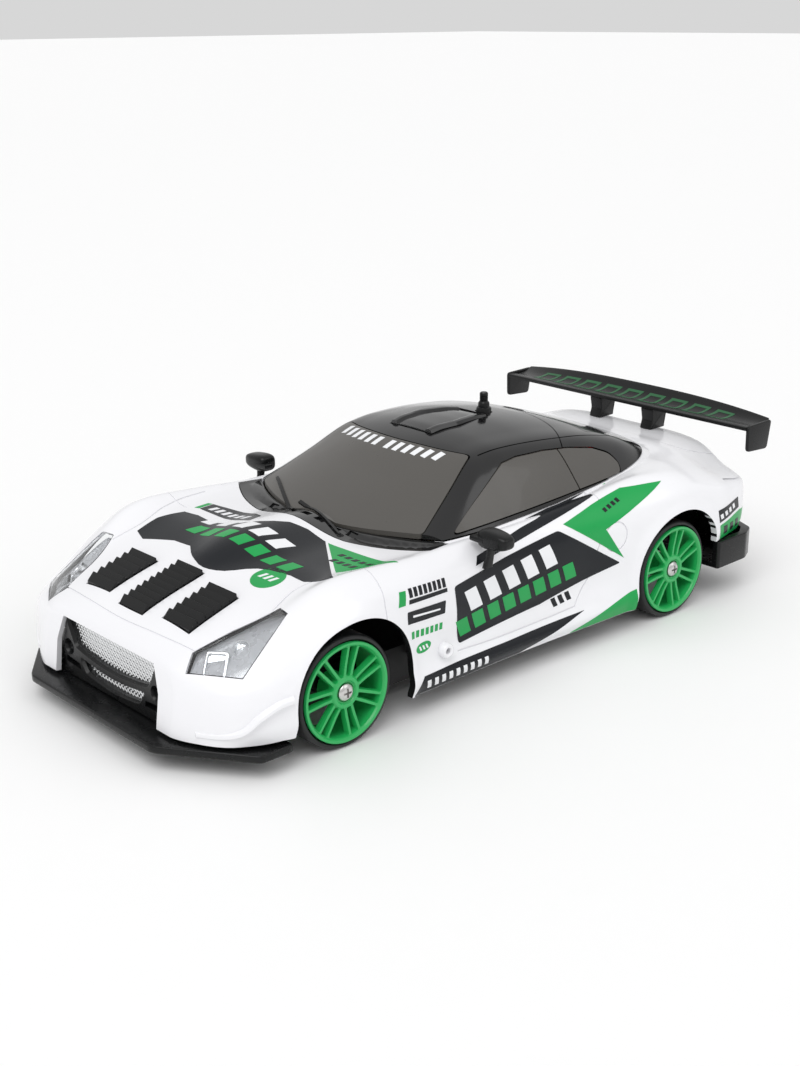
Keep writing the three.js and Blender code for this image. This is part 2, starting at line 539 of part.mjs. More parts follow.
function buildWing() {
  const rings = curveAcross(WING_HALF_SPAN - 0.9, 12, (y) => {
    const lift = 2.3 * (1 - (Math.abs(y) / WING_HALF_SPAN) ** 2.6);
    return [[WING_FRONT_X, 44.9], [WING_FRONT_X, 46.3], [-88.6, 45.8 + 0.1 * lift],
      [WING_REAR_X, 46.7 + lift],
      [WING_REAR_X, 45.9 + lift], [-89, 44.7]].map(([x, z]) => new THREE.Vector3(x, y, z));
  });
  const plate = [[WING_FRONT_X, 46.5], [WING_FRONT_X - 0.2, 39.4], [-93.5, 38.9], [WING_REAR_X, 46.8]];
  const plates = [1, -1].map((side) => across(plate, ...spanY(side, WING_HALF_SPAN - 1, WING_HALF_SPAN)));
  place("rear_wing", join(loft(rings), ...plates), BLACK_SATIN);
  for (const [word, side] of [["left", 1], ["right", -1]]) {
    const profile = [[-85.7, 39.15], [-91, 39.15], [-92, 44.3], [-85.7, 44.3]];
    place("wing_strut_" + word, across(profile, ...spanY(side, 8.4, 10.6)), BLACK_SATIN);
  }
}

function buildRear() {
  const outline = (m) => [[-73.2, 45.9 - m], [-73.2, -45.9 + m], [-86 + m / 2, -45.6 + m],
    [-90.6 + m, -43.4 + m],
    [-94 + m, -36 + m / 2], [-94 + m, 36 - m / 2], [-90.6 + m, 43.4 - m], [-86 + m / 2, 45.6 - m]];
  const inside = [[-60, 44], [-60, -44], ...outline(1.8).slice(2, 8)];
  const fins = [-18, -6, 6, 18].map((y) => box([-93, -78], [y - 0.6, y + 0.6], [7.2, 9.6]));
  const wall = cut(upright(outline(0), 9, 16.6), upright(inside, 10.4, 20));
  place("rear_bumper", join(wall, ...fins), BLACK_SATIN);
  for (const [word, side] of [["left", 1], ["right", -1]]) {
    const lenses = TAIL_LAMPS.map(({ y, radius }) => rod("x", [0, y * side, TAIL_LAMP_Z], radius, -94, -91,
      14));
    const back = box([-91.4, -90.6], spanY(side, 15, 32), [TAIL_LAMP_Z - 3, TAIL_LAMP_Z + 3]);
    place("tail_lamp_" + word, join(back, ...lenses), RED_LENS);
  }
}

// ---------------------------------------------------------------- chassis
const SWITCH = { x: 14, y: -14, length: 3.4, width: 2.2, travel: 2 };
const TRIM = { x: 34, y: -8, radius: 3.2 };
const DOOR = { x: [-37, 6], y: [9, 27] };
const DOOR_SCREW = { x: 3, y: 18 };

function kingpinArms(side) {
  const wall = box([FRONT_AXLE_X - 4.4, FRONT_AXLE_X + 4.4], spanY(side, 24, 25.4),
    [CHASSIS_FLOOR - 0.4, 20.4]);
  const passage = rod("y", [FRONT_AXLE_X, 0, AXLE_Z], 2.6, -60, 60, 16);
  const floor = box([FRONT_AXLE_X - 4.4, FRONT_AXLE_X + 4.4], spanY(side, 21, 25.4),
    [CHASSIS_BOTTOM, CHASSIS_FLOOR]);
  const arms = [[6.4, 8.0], [18.2, 19.8]].map((z) =>
    box([FRONT_AXLE_X - 3, FRONT_AXLE_X + 3], spanY(side, 24.4, KINGPIN_Y + 2.4), z));
  const pinHole = rod("z", [FRONT_AXLE_X, KINGPIN_Y * side, 0], 1.5, 5, 22, 14);
  return cut(join(cut(wall, passage), floor, ...arms), pinHole);
}

function buildChassis() {
  const floorPlan = [[-80, -22], [-46, -22], [-38, -33], [36, -33], [44, -25.4], [62, -22], [73.6, -20],
    [73.6, 20],
    [62, 22], [44, 25.4], [36, 33], [-38, 33], [-46, 22], [-80, 22]];
  const floor = upright(floorPlan, CHASSIS_BOTTOM, CHASSIS_FLOOR);
  const walls = [1, -1].map((side) => box([-38, 36], spanY(side, 31.6, 33), [CHASSIS_BOTTOM, 13]));
  const ends = [[-39, -37.6], [34.6, 36]].map((x) => cut(box(x, [-33, 33], [CHASSIS_BOTTOM, 10]),
    box([-60, 60], [-20, 20], [CHASSIS_FLOOR, 30])));
  const posts = [[26.8, 1], [26.8, -1]].map(([x, side]) =>
    join(box([x - 2.4, x + 2.4], spanY(side, 31.6, 41), [10.6, 12.2]),
      box([x - 2.4, x + 2.4], spanY(side, 31.6, 33), [10, 13])));
  const rails = [7.5, 28.5].map((y) => box([-37, 0], [y - 0.5, y + 0.5], [CHASSIS_FLOOR - 0.4, 9]));
  const doorHole = box(DOOR.x, DOOR.y, [0, 12]);
  const slotHalf = [(SWITCH.length + SWITCH.travel) / 2 + 0.7, SWITCH.width / 2 + GAP];
  const slot = box([SWITCH.x - slotHalf[0], SWITCH.x + slotHalf[0]],
    [SWITCH.y - slotHalf[1], SWITCH.y + slotHalf[1]], [0, 8]);
  const trimHole = rod("z", [TRIM.x, TRIM.y, 0], 1.5, 0, 8, 14);
  const doorPost = cut(
    join(box([0.6, 9], [15, 21], [CHASSIS_FLOOR + GAP, 8.2]),
      box([6.3, 9], [15, 21], [CHASSIS_FLOOR - 0.4, 8.2])),
    rod("z", [DOOR_SCREW.x, DOOR_SCREW.y, 0], 1.1, 0, 9, 10),
  );
  const frame = cut(join(floor, ...walls, ...ends, ...posts, ...rails, kingpinArms(1), kingpinArms(-1)),
    slot, trimHole);
  place("chassis_tub", join(cut(frame, doorHole), doorPost), CHASSIS_BLACK);

  const door = box([DOOR.x[0] + GAP, DOOR.x[1] - GAP], [DOOR.y[0] + GAP, DOOR.y[1] - GAP],
    [CHASSIS_BOTTOM, CHASSIS_FLOOR]);
  const screwHole = rod("z", [DOOR_SCREW.x, DOOR_SCREW.y, 0], 1.1, 0, 10, 12);
  const head = rod("z", [DOOR_SCREW.x, DOOR_SCREW.y, 0], 2.2, 0, CHASSIS_BOTTOM + 0.7, 14);
  place("battery_door", cut(door, screwHole, head), CHASSIS_BLACK);
  place("battery_door_screw", turned([[0, 4.05], [1.9, 4.05], [1.9, 4.4], [0.8, 4.4], [0.8, 7.8],
    [0, 7.8]], "z",
    [DOOR_SCREW.x, DOOR_SCREW.y, 0], 14), STEEL);
}

function buildElectrics() {
  const cells = [13, 23].map((y) => rod("x", [0, y, 13.6], 4.9, -36, -0.5, 16));
  place("battery_pack", join(...cells, box([-35, -1.5], [13, 23], [9.6, 11])), CELL_BLUE);
  const board = box([-6, 24], [-26, -5], [13.6, 14.8]);
  const chips = [[0, -16, 4], [12, -12, 3], [12, -21, 3]].map(([x, y, h]) =>
    box([x - h, x + h], [y - h, y + h], [14.4, 16.6]));
  const crystal = rod("z", [20, -9, 0], 1.6, 14.4, 19, 12);
  place("circuit_board", join(board, ...chips, crystal), BOARD_GREEN);
  const can = rod("x", [0, MOTOR_Y, SHAFT_Z], 7.4, -42, -18, 24).intersect(
    box([-50, 0], [MOTOR_Y - 7.4, MOTOR_Y + 7.4], [SHAFT_Z - 6, SHAFT_Z + 6]));
  place("drive_motor", cut(join(can, rod("x", [0, MOTOR_Y, SHAFT_Z], 2.4, -19, -16.8, 16)),
    rod("x", [0, MOTOR_Y, SHAFT_Z], 1.1, -22, -10, 12)), STEEL);
  const servo = box([29.6, 42], [4, 15], [CHASSIS_FLOOR + GAP, 14.4]);
  const tabs = box([27.6, 44], [6, 13], [11.4, 12.6]);
  place("steering_servo", cut(join(servo, tabs), rod("z", [HORN.x, HORN.y, 0], 1.3, 12, 20, 12)),
    CHASSIS_BLACK);
}

function buildGearboxes() {
  const shaftWay = rod("x", [0, 0, SHAFT_Z], 1.8, -80, 80, 16);
  const housing = (x, from, to) => {
    const shell = box([x + from, x + to], [-10, 10], [CHASSIS_FLOOR + GAP, 21]);
    const inside = box([x + from + 1.4, x + to - 1.4], [-8.6, 8.6], [CHASSIS_FLOOR + 1.6, 19.6]);
    const axleWay = rod("y", [x, 0, AXLE_Z], AXLE_RADIUS + GAP, -20, 20, 16);
    return cut(shell, inside, axleWay, shaftWay);
  };
  place("rear_gearbox", cut(housing(REAR_AXLE_X, -8, 12), box([-64.6, -60], [-5, 5], [8, 16])),
    CHASSIS_BLACK);
  place("front_gearbox", cut(housing(FRONT_AXLE_X, -6.6, 8), box([60, 66], [-5, 5], [8, 16])),
    CHASSIS_BLACK);
}

// ---------------------------------------------------------------- moving pieces
const HORN = { x: 36.8, y: 9.5, pinX: 45.4 };
const TIE_ROD = { bottom: 17.2, top: 18.6 };

// A gear with square-cut teeth: points on the outline alternate between two radii.
function gear(axis, at, radius, teeth, from, to) {
  const outline = Array.from({ length: teeth * 4 }, (_, i) => {
    const reach = i % 4 < 2 ? radius : radius - 0.8;
    const angle = ((i + 0.5) / (teeth * 4)) * 2 * Math.PI;
    return [reach * Math.cos(angle), reach * Math.sin(angle)];
  });
  const make = { x: lengthwise, y: across, z: upright }[axis];
  const centred = axis === "x" ? outline.map(([a, b]) => [a + at[1], b + at[2]])
    : outline.map(([a, b]) => [a + at[0], b + at[2]]);
  return make(centred, from, to);
}

function buildDrive() {
  const middle = [0, 0, SHAFT_Z];
  const motorLine = [0, MOTOR_Y, SHAFT_Z];
  place("motor_pinion", join(rod("x", motorLine, 0.8, -21, -11.6, 12),
    gear("x", motorLine, 3, 8, -16, -12)), BRASS);
  place("centre_shaft", join(
    rod("x", middle, 1.2, -47, 52, 12), gear("x", middle, 6.4, 14, -16, -12),
    gear("x", middle, 2.6, 8, -48.6, -46.4), gear("x", middle, 2.6, 8, 51.8, 53.4),
  ), NYLON);
  const rearMiddle = [REAR_AXLE_X, 0, AXLE_Z];
  place("rear_axle", join(
    rod("y", rearMiddle, AXLE_RADIUS, -38, 38, 12), gear("y", rearMiddle, 5.9, 14, 3.2, 5.4),
    ...[1, -1].map((side) => rod("y", rearMiddle, 2.2, ...spanY(side, 34.6, 38), 6)),
  ), STEEL);
  const ball = (side) => {
    const sphere = new THREE.SphereGeometry(1.7, 10, 6);
    sphere.translate(FRONT_AXLE_X, KINGPIN_Y * side, AXLE_Z);
    return solidOf(sphere);
  };
  const frontMiddle = [FRONT_AXLE_X, 0, AXLE_Z];
  place("front_spool", join(
    rod("y", frontMiddle, 0.8, -KINGPIN_Y, KINGPIN_Y, 10), rod("y", frontMiddle, AXLE_RADIUS, -12, 12, 14),
    gear("y", frontMiddle, 4.9, 14, -5.4, -3.2), ball(1), ball(-1),
  ), STEEL);
}

function knuckle(side) {
  const block = box([FRONT_AXLE_X - 4.2, FRONT_AXLE_X + 4.2], spanY(side, 27.4, 33.4), [8.3, 17.9]);
  const pin = rod("z", [FRONT_AXLE_X, KINGPIN_Y * side, 0], 1.2, 6.6, 19.6, 14);
  const bearing = rod("y", [FRONT_AXLE_X, 0, AXLE_Z], 3, ...spanY(side, 33, 36.6), 16);
  const arm = box([STEER_ARM_X - 1.4, FRONT_AXLE_X - 3], spanY(side, 27.4, 29.8), [15.2, 16.8]);
  const armPin = rod("z", [STEER_ARM_X, ARM_PIN_Y * side, 0], 0.8, 16, 18.8, 12);
  const cupRoom = rod("y", [FRONT_AXLE_X, 0, AXLE_Z], 3.2, ...spanY(side, 26, 33.2), 18);
  const stubWay = rod("y", [FRONT_AXLE_X, 0, AXLE_Z], AXLE_RADIUS + GAP, -60, 60, 14);
  return cut(join(block, pin, bearing, arm, armPin), cupRoom, stubWay);
}

function frontStub(side) {
  const middle = [FRONT_AXLE_X, 0, AXLE_Z];
  const cup = rod("y", middle, 2.9, ...spanY(side, 27.6, 32.8), 18);
  const room = rod("y", middle, 2.3, ...spanY(side, 20, 32.2), 16);
  const hex = rod("y", middle, 2.2, ...spanY(side, 37, 38), 6);
  return join(cut(cup, room), rod("y", middle, AXLE_RADIUS, ...spanY(side, 32.6, 38), 12), hex);
}

function buildSteering() {
  for (const [word, side] of [["left", 1], ["right", -1]]) {
    place("knuckle_" + word, knuckle(side), CHASSIS_BLACK);
    place("front_stub_" + word, frontStub(side), STEEL);
  }
  const { bottom, top } = TIE_ROD;
  const bar = box([STEER_ARM_X - 1, STEER_ARM_X + 1], [-26, 26], [bottom, top]);
  const eyeAt = (y, reach, width, z) =>
    box([STEER_ARM_X - reach, STEER_ARM_X + reach], [y - width, y + width], z);
  const eyes = [ARM_PIN_Y, -ARM_PIN_Y].map((y) => eyeAt(y, 3.6, 2.6, [bottom, top]));
  const eyeSlots = [ARM_PIN_Y, -ARM_PIN_Y].map((y) => eyeAt(y, 2.4, 1.4, [10, 25]));
  const plate = box([HORN.pinX - 3.2, STEER_ARM_X + 1], [HORN.y - 2.4, HORN.y + 2.4], [bottom, top]);
  const hornSlot = box([HORN.pinX - 2.2, HORN.pinX + 1.2], [HORN.y - 1.2, HORN.y + 1.2], [10, 25]);
  place("tie_rod", cut(join(bar, ...eyes, plate), ...eyeSlots, hornSlot), CHASSIS_BLACK);
  place("servo_horn", join(
    rod("z", [HORN.x, HORN.y, 0], 1, 12.6, 16, 12), rod("z", [HORN.x, HORN.y, 0], 2.6, 14.8, 16.4, 16),
    box([HORN.x, HORN.pinX + 1], [HORN.y - 1.1, HORN.y + 1.1], [15.2, 16.4]),
    rod("z", [HORN.pinX, HORN.y, 0], 0.8, 16, 18.8, 12),
  ), NYLON);
}

function buildControls() {
  const { x, y, length, width, travel } = SWITCH;
  const knobX = [x - travel / 2 - length / 2 + 0.7, x - travel / 2 + length / 2 - 0.7];
  const knob = box(knobX, [y - width / 2, y + width / 2], [3.5, 6]);
  const flange = box([x - 4.6, x + 2.6], [y - 2.4, y + 2.4], [CHASSIS_FLOOR + GAP, CHASSIS_FLOOR + 1.3]);
  place("power_switch", join(knob, flange), NYLON);
  const disc = rod("z", [TRIM.x, TRIM.y, 0], TRIM.radius, CHASSIS_FLOOR + GAP, CHASSIS_FLOOR + 1.4, 18);
  const stem = rod("z", [TRIM.x, TRIM.y, 0], 1.2, 3.3, CHASSIS_FLOOR + 1, 14);
  const finger = box([TRIM.x - 4.4, TRIM.x + 0.4], [TRIM.y - 0.7, TRIM.y + 0.7], [3.1, 3.7]);
  place("trim_lever", join(disc, stem, finger), NYLON);
}

// ---------------------------------------------------------------- wheels
// The lip of the rim shows outside the tyre; spokes lie in V pairs between the hub and the barrel.
function rim(x, side) {
  const ring = turned([
    [RIM_BARREL_RADIUS - 0.9, TYRE_INNER_Y + 0.4], [RIM_BARREL_RADIUS, TYRE_INNER_Y + 0.4],
    [RIM_BARREL_RADIUS, 43.7], [RIM_LIP_RADIUS, 43.9], [RIM_LIP_RADIUS - 0.1, RIM_FACE_Y],
    [RIM_BARREL_RADIUS - 0.9, RIM_FACE_Y - 0.2],
  ], "y", [0, 0, 0], 24);
  const hub = cut(rod("y", [0, 0, 0], 3.4, 38.3, 44.3, 14), rod("y", [0, 0, 0], 2.3, 43.2, 50, 12),
    rod("y", [0, 0, 0], 0.9, 30, 50, 8));
  const spokes = Array.from({ length: SPOKE_PAIRS * 2 }, (_, i) => {
    const angle = ((i + 0.5) / SPOKE_PAIRS / 2) * 2 * Math.PI;
    const tilt = (i % 2 ? -1 : 1) * 0.1;
    const turn = (r, a) => [r * Math.cos(a), r * Math.sin(a)];
    const foot = turn(2.6, angle + tilt);
    const tip = turn(RIM_BARREL_RADIUS - 0.3, angle - tilt);
    const length = Math.hypot(tip[0] - foot[0], tip[1] - foot[1]);
    const sideways = [-(tip[1] - foot[1]) / length, (tip[0] - foot[0]) / length];
    const corner = ([px, pz], w, y) => new THREE.Vector3(px + sideways[0] * w, y, pz + sideways[1] * w);
    return loft([[foot, 0.55, 43.9], [tip, 0.75, 44.2]].map(([p, w, y]) =>
      [corner(p, -w, y), corner(p, w, y), corner(p, w * 0.8, y - 1.6), corner(p, -w * 0.8, y - 1.6)]));
  });
  return onWheel(join(ring, hub, ...spokes), x, side);
}

// Moves a piece made on the line y = 0 .. +, about the origin, to a wheel's place.
function onWheel(solid, x, side) {
  const mesh = solid.getMesh();
  const points = Array.from(mesh.vertProperties);
  for (let i = 0; i < points.length; i += 3) {
    points[i] += x;
    points[i + 1] *= side;
    points[i + 2] += AXLE_Z;
  }
  const faces = Array.from(mesh.triVerts);
  if (side < 0) faces.reverse();
  const geometry = new THREE.BufferGeometry();
  geometry.setAttribute("position", new THREE.Float32BufferAttribute(points, 3));
  geometry.setIndex(faces);
  return solidOf(geometry);
}

function tyre(x, side) {
  const sides = 24;
  const outer = TYRE_RADIUS / Math.cos(Math.PI / sides);
  const profile = [
    [11.3, TYRE_INNER_Y], [outer - 0.5, TYRE_INNER_Y], [outer, TYRE_INNER_Y + 0.7],
    [outer, TYRE_OUTER_Y - 0.8],
    [outer - 0.5, TYRE_OUTER_Y], [11.95, TYRE_OUTER_Y], [11.95, 43.5], [11.3, 43.3],
  ];
  return onWheel(turned(profile, "y", [0, 0, 0], sides), x, side);
}

function wheelScrew(x, side) {
  const driver = [box([-1.1, 1.1], [44.2, 46], [-0.25, 0.25]), box([-0.25, 0.25], [44.2, 46], [-1.1, 1.1])];
  const screw = turned([[0, 38.9], [0.6, 38.9], [0.6, 43.5], [2, 43.5], [2, 44.2], [1.2, 44.7], [0, 44.8]],
    "y",
    [0, 0, 0], 12);
  return onWheel(cut(screw, ...driver), x, side);
}

function buildWheels() {
  for (const [end, x] of [["front", FRONT_AXLE_X], ["rear", REAR_AXLE_X]]) {
    for (const [word, side] of [["left", 1], ["right", -1]]) {
      const name = (piece) => [end, piece, word].join("_");
      place(name("rim"), rim(x, side), WHEEL_GREEN);
      place(name("tyre"), tyre(x, side), TYRE_BLACK);
      place(name("wheel_screw"), wheelScrew(x, side), STEEL);
    }
  }
}

buildBody();
buildRoofTrim();
buildLouvres();
buildFront();
buildMirrors();
buildWing();
buildRear();
buildChassis();
buildElectrics();
buildGearboxes();
buildDrive();
buildSteering();
buildControls();
buildWheels();

export default car;
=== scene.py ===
"""Looks of a toy rc drift car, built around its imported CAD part.

Sizes are in millimetres in the car's own frame (+X forward, +Y the car's left, +Z up), until a mesh is made.
"""
import json
import math

import bmesh
import bpy
import numpy as np
from mathutils import Matrix, Vector
from mathutils.bvhtree import BVHTree


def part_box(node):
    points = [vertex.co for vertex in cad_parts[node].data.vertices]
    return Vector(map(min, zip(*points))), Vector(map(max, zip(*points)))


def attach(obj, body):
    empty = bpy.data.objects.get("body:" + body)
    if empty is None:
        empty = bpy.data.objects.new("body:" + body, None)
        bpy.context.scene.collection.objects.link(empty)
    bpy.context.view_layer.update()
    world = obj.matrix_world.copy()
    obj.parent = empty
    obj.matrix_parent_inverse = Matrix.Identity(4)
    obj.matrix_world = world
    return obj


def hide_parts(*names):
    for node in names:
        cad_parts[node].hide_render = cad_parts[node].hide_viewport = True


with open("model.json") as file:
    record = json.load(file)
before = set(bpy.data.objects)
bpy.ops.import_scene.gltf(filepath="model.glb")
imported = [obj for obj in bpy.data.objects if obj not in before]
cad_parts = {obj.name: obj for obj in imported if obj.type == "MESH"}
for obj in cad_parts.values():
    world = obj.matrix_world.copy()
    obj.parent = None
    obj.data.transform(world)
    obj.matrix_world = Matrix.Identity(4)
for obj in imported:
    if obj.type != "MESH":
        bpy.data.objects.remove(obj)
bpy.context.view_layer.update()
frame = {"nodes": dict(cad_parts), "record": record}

MM = 0.001
SIDES = (("left", 1), ("right", -1))


def ends(node):
    """Lowest and highest corner of a CAD node, in millimetres."""
    return [np.array(corner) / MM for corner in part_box(node)]


def middle(node):
    low, high = ends(node)
    return (low + high) / 2


# ---------------------------------------------------------------- driving sizes
GAP = 0.3
WALL = 1.2
STICKER = 0.07
UPPER_STICKER = STICKER + 0.05
STICKER_SINKS = 0.03
INSIDE_DEPTH = 0.85
GROOVE_WIDTH = 0.34
GROOVE_DEPTH = 0.28
AXLE_X = {"front": middle("front_tyre_left")[0], "rear": middle("rear_tyre_left")[0]}
AXLE_Z = middle("front_tyre_left")[2]
TYRE_RADIUS = 13.04
TYRE_INNER_Y = 35.2
TYRE_OUTER_Y = 44.2
ARCHES = [(54.6, 13.0, 16.8), (-56.5, 13.2, 16.4)]
FLARE_WIDTH = 3.2
FLARE_HEIGHT = 0.65
REAR_END_X = -93
NOSE_X = 89.5

# Between these heights a cutter goes through the cabin or the cowl, and between these widths through a side.
CABIN_SPAN = (30, 60)
COWL_SPAN = (30, 45)
SIDE_SPANS = ((15, 60), (-60, -15))

# Lines that run along the body, from rear to front, each knot as (x, y, z). A half section passes through
# them in this order, from the sill up and over to the middle of the deck.
BODY_LINES = {
    "bottom edge": [
        (-93, 36, 17), (-89, 40.5, 17), (-80, 43.6, 17), (-73, 44.8, 17), (-39, 44.2, 6), (0, 43.4, 5.8),
        (36.5, 44, 5.7), (71.6, 44.2, 7.4), (80, 41.5, 7.2), (86, 35.5, 7.1), (89.5, 27, 7)],
    "skirt bulge": [
        (-93, 36.5, 20), (-89, 41.2, 19.5), (-80, 44.6, 19.5), (-73, 45.4, 19.5), (-39, 45.2, 9.5),
        (-20, 44.8, 8.8), (0, 44.6, 8.6), (20, 44.6, 8.6), (36.5, 45, 9), (71.6, 45.2, 10.5),
        (80, 42.3, 10.5), (86, 36.2, 10.5), (89.5, 27.5, 10.5)],
    "skirt top": [
        (-93, 36.6, 23), (-89, 41.5, 22.5), (-80, 44.8, 22.5), (-73, 45.8, 22), (-39, 45, 12.5),
        (-20, 43.4, 12), (0, 42.7, 11.8), (20, 43, 11.8), (36.5, 44.4, 12.5), (71.6, 45.2, 13.5),
        (80, 42.4, 13.6), (86, 36.4, 13.6), (89.5, 27.6, 13.6)],
    "hollow at the foot of the door": [
        (-93, 36.6, 25.6), (-89, 41.6, 25.6), (-80, 44.8, 25.6), (-73, 46, 25.2), (-39, 44.8, 17),
        (-20, 42.4, 16), (0, 41.8, 15.5), (20, 42.2, 15.5), (36.5, 44.3, 17), (71.6, 45.1, 16.8),
        (80, 42.3, 16.8), (86, 36.3, 16.6), (89.5, 27.5, 16.5)],
    "middle of the door and lips of the flares": [
        (-93, 36.4, 28), (-89, 41.4, 28.2), (-80, 44.6, 28.6), (-73, 45.8, 28.5), (-56.5, 46, 30.5),
        (-39, 44.8, 25), (-20, 43, 24), (0, 42.6, 23.5), (20, 43, 23.5), (36.5, 44.6, 25), (54, 45.8, 30.4),
        (71.6, 44.4, 22), (80, 41.6, 19.8), (86, 35.6, 18.8), (89.5, 27.2, 18.5)],
    "shoulder": [
        (-93, 36, 29.5), (-89, 40.8, 30), (-80, 43.8, 30.8), (-73, 45, 31.8), (-56.5, 45, 34.5),
        (-39, 43.8, 33), (-20, 42.2, 32), (0, 41.6, 31.2), (20, 42, 31.6), (36.5, 43.6, 32.6),
        (54, 44.3, 33.6), (64, 43.2, 30), (71.6, 41.6, 26), (80, 38.5, 22), (86, 33, 20.6), (89.5, 26.6, 20)],
    "crest of the fenders and belt": [
        (-93, 34.5, 30.6), (-89, 39, 31), (-80, 41.5, 32), (-73, 42.2, 33.8), (-56.5, 41, 38),
        (-45, 38.8, 38.8), (-30, 38.2, 37.4), (0, 38, 35.8), (20, 38, 35.6), (36.5, 38.8, 36.4),
        (50, 38.5, 37.1), (58, 38, 35.9), (65.6, 37, 32.2), (71.6, 36, 28.6), (77, 34.5, 25.6),
        (82, 32.5, 23.4), (86, 30, 22), (89.5, 25.5, 21.2)],
    "edge of the hood and boot lid": [
        (-93, 31, 32), (-89, 34.5, 32.5), (-80, 35, 34), (-73, 35.5, 36.5), (-56.5, 35, 39),
        (-45, 34.5, 38.6), (-30, 34, 37), (0, 34, 35.4), (20, 34.5, 35.6), (36.5, 33.5, 35.4),
        (50, 32.5, 35.4), (58, 32, 34.2), (65.6, 31, 31.4), (71.6, 30, 28.8), (77, 28.5, 26.8),
        (82, 27, 25), (86, 25.5, 23.4), (89.5, 24, 21.9)],
    "middle of each half of the deck": [
        (-93, 22, 35), (-91, 24, 37.2), (-88, 25, 37.8), (-80, 25, 38.2), (-73, 25, 39.2), (-56.5, 22, 39),
        (-30, 20, 36.6), (0, 20, 34.8), (26, 20, 34.9), (36.5, 19, 35.2), (50, 18, 34.9), (60, 17.5, 33.3),
        (66, 17, 31.6), (77, 15.5, 28.4), (82, 14.5, 26.6), (86, 13.5, 24.6), (89.5, 12.5, 22.3)],
    "centre line": [
        (-93, 0, 36.2), (-91, 0, 38.4), (-88, 0, 38.8), (-80, 0, 38.8), (-73, 0, 39.6), (-56.5, 0, 38.6),
        (-30, 0, 36.6), (0, 0, 34.8), (26, 0, 34.9), (36.5, 0, 35.3), (50, 0, 35.1), (60, 0, 33.6),
        (66, 0, 31.7), (77, 0, 28.4), (82, 0, 26.6), (86, 0, 24.7), (89.5, 0, 22.4)],
}
CABIN_FOOT = [
    (-78, 29, 33), (-60, 34, 33), (-47, 35.8, 33), (-20, 37.4, 33), (0, 37.9, 33), (20, 37.6, 33),
    (33, 38.4, 33)]
CABIN_CORNER = [
    (-78, 21, 34.8), (-70, 24, 38.5), (-60, 26.2, 42.8), (-50, 27.6, 46), (-40, 27.8, 48), (-30, 27.2, 49.2),
    (-20, 26.6, 49.9), (-10, 25.6, 50.2), (-2.6, 24.9, 49.6), (8, 27.8, 43.9), (22, 32.4, 36.3),
    (33, 36.4, 30.3)]
CABIN_MIDDLE = [
    (-78, 0, 37.6), (-74, 0, 39.6), (-66, 0, 42.6), (-59, 0, 45.2), (-50, 0, 48.2), (-40, 0, 51),
    (-30, 0, 52.7), (-20, 0, 53.5), (-10, 0, 53.4), (-2, 0, 52.4), (3, 0, 51.1), (15, 0, 44.8),
    (28, 0, 37.2), (33, 0, 34)]


# ---------------------------------------------------------------- finishes
def finish(name, colour, roughness, mottle=0.03, grain=0.5, relief=0.004, **sockets):
    """A principled material. Its colour and gloss drift a little over the surface, and its grain, in
    millimetres across, stands a relief of that many millimetres high."""
    made = bpy.data.materials.new(name)
    made.use_nodes = True
    nodes, links = made.node_tree.nodes, made.node_tree.links
    shader = nodes["Principled BSDF"]
    for socket, value in sockets.items():
        shader.inputs[socket.replace("_", " ")].default_value = value
    place = nodes.new("ShaderNodeTexCoord")

    def noise(size, detail):
        node = nodes.new("ShaderNodeTexNoise")
        node.inputs["Scale"].default_value = 1 / (size * MM)
        node.inputs["Detail"].default_value = detail
        links.new(place.outputs["Object"], node.inputs["Vector"])
        return node.outputs["Fac"]

    broad = noise(14, 3)
    blend = nodes.new("ShaderNodeMix")
    blend.data_type = "RGBA"
    blend.inputs["A"].default_value = (*[c * (1 - mottle) for c in colour], 1)
    blend.inputs["B"].default_value = (*[min(1, c * (1 + mottle)) for c in colour], 1)
    links.new(broad, blend.inputs["Factor"])
    links.new(blend.outputs["Result"], shader.inputs["Base Color"])
    gloss = nodes.new("ShaderNodeMapRange")
    gloss.inputs["To Min"].default_value = roughness * 0.8
    gloss.inputs["To Max"].default_value = roughness * 1.2
    links.new(noise(5, 4), gloss.inputs["Value"])
    links.new(gloss.outputs["Result"], shader.inputs["Roughness"])
    bump = nodes.new("ShaderNodeBump")
    bump.inputs["Strength"].default_value = 1
    bump.inputs["Distance"].default_value = relief * MM
    links.new(noise(grain, 2), bump.inputs["Height"])
    links.new(bump.outputs["Normal"], shader.inputs["Normal"])
    return made


def brushed(name, colour, roughness, axis):
    """Metal with fine tool marks that run across one axis."""
    made = finish(name, colour, roughness, 0.06, 0.2, 0.001, Metallic=1.0)
    nodes, links = made.node_tree.nodes, made.node_tree.links
    stretch = nodes.new("ShaderNodeMapping")
    stretch.inputs["Scale"].default_value = [12 if i == axis else 0.6 for i in range(3)]
    place = next(n for n in nodes if n.type == "TEX_COORD")
    links.new(place.outputs["Object"], stretch.inputs["Vector"])
    for node in [n for n in nodes if n.type == "TEX_NOISE"]:
        links.new(stretch.outputs["Vector"], node.inputs["Vector"])
    return made


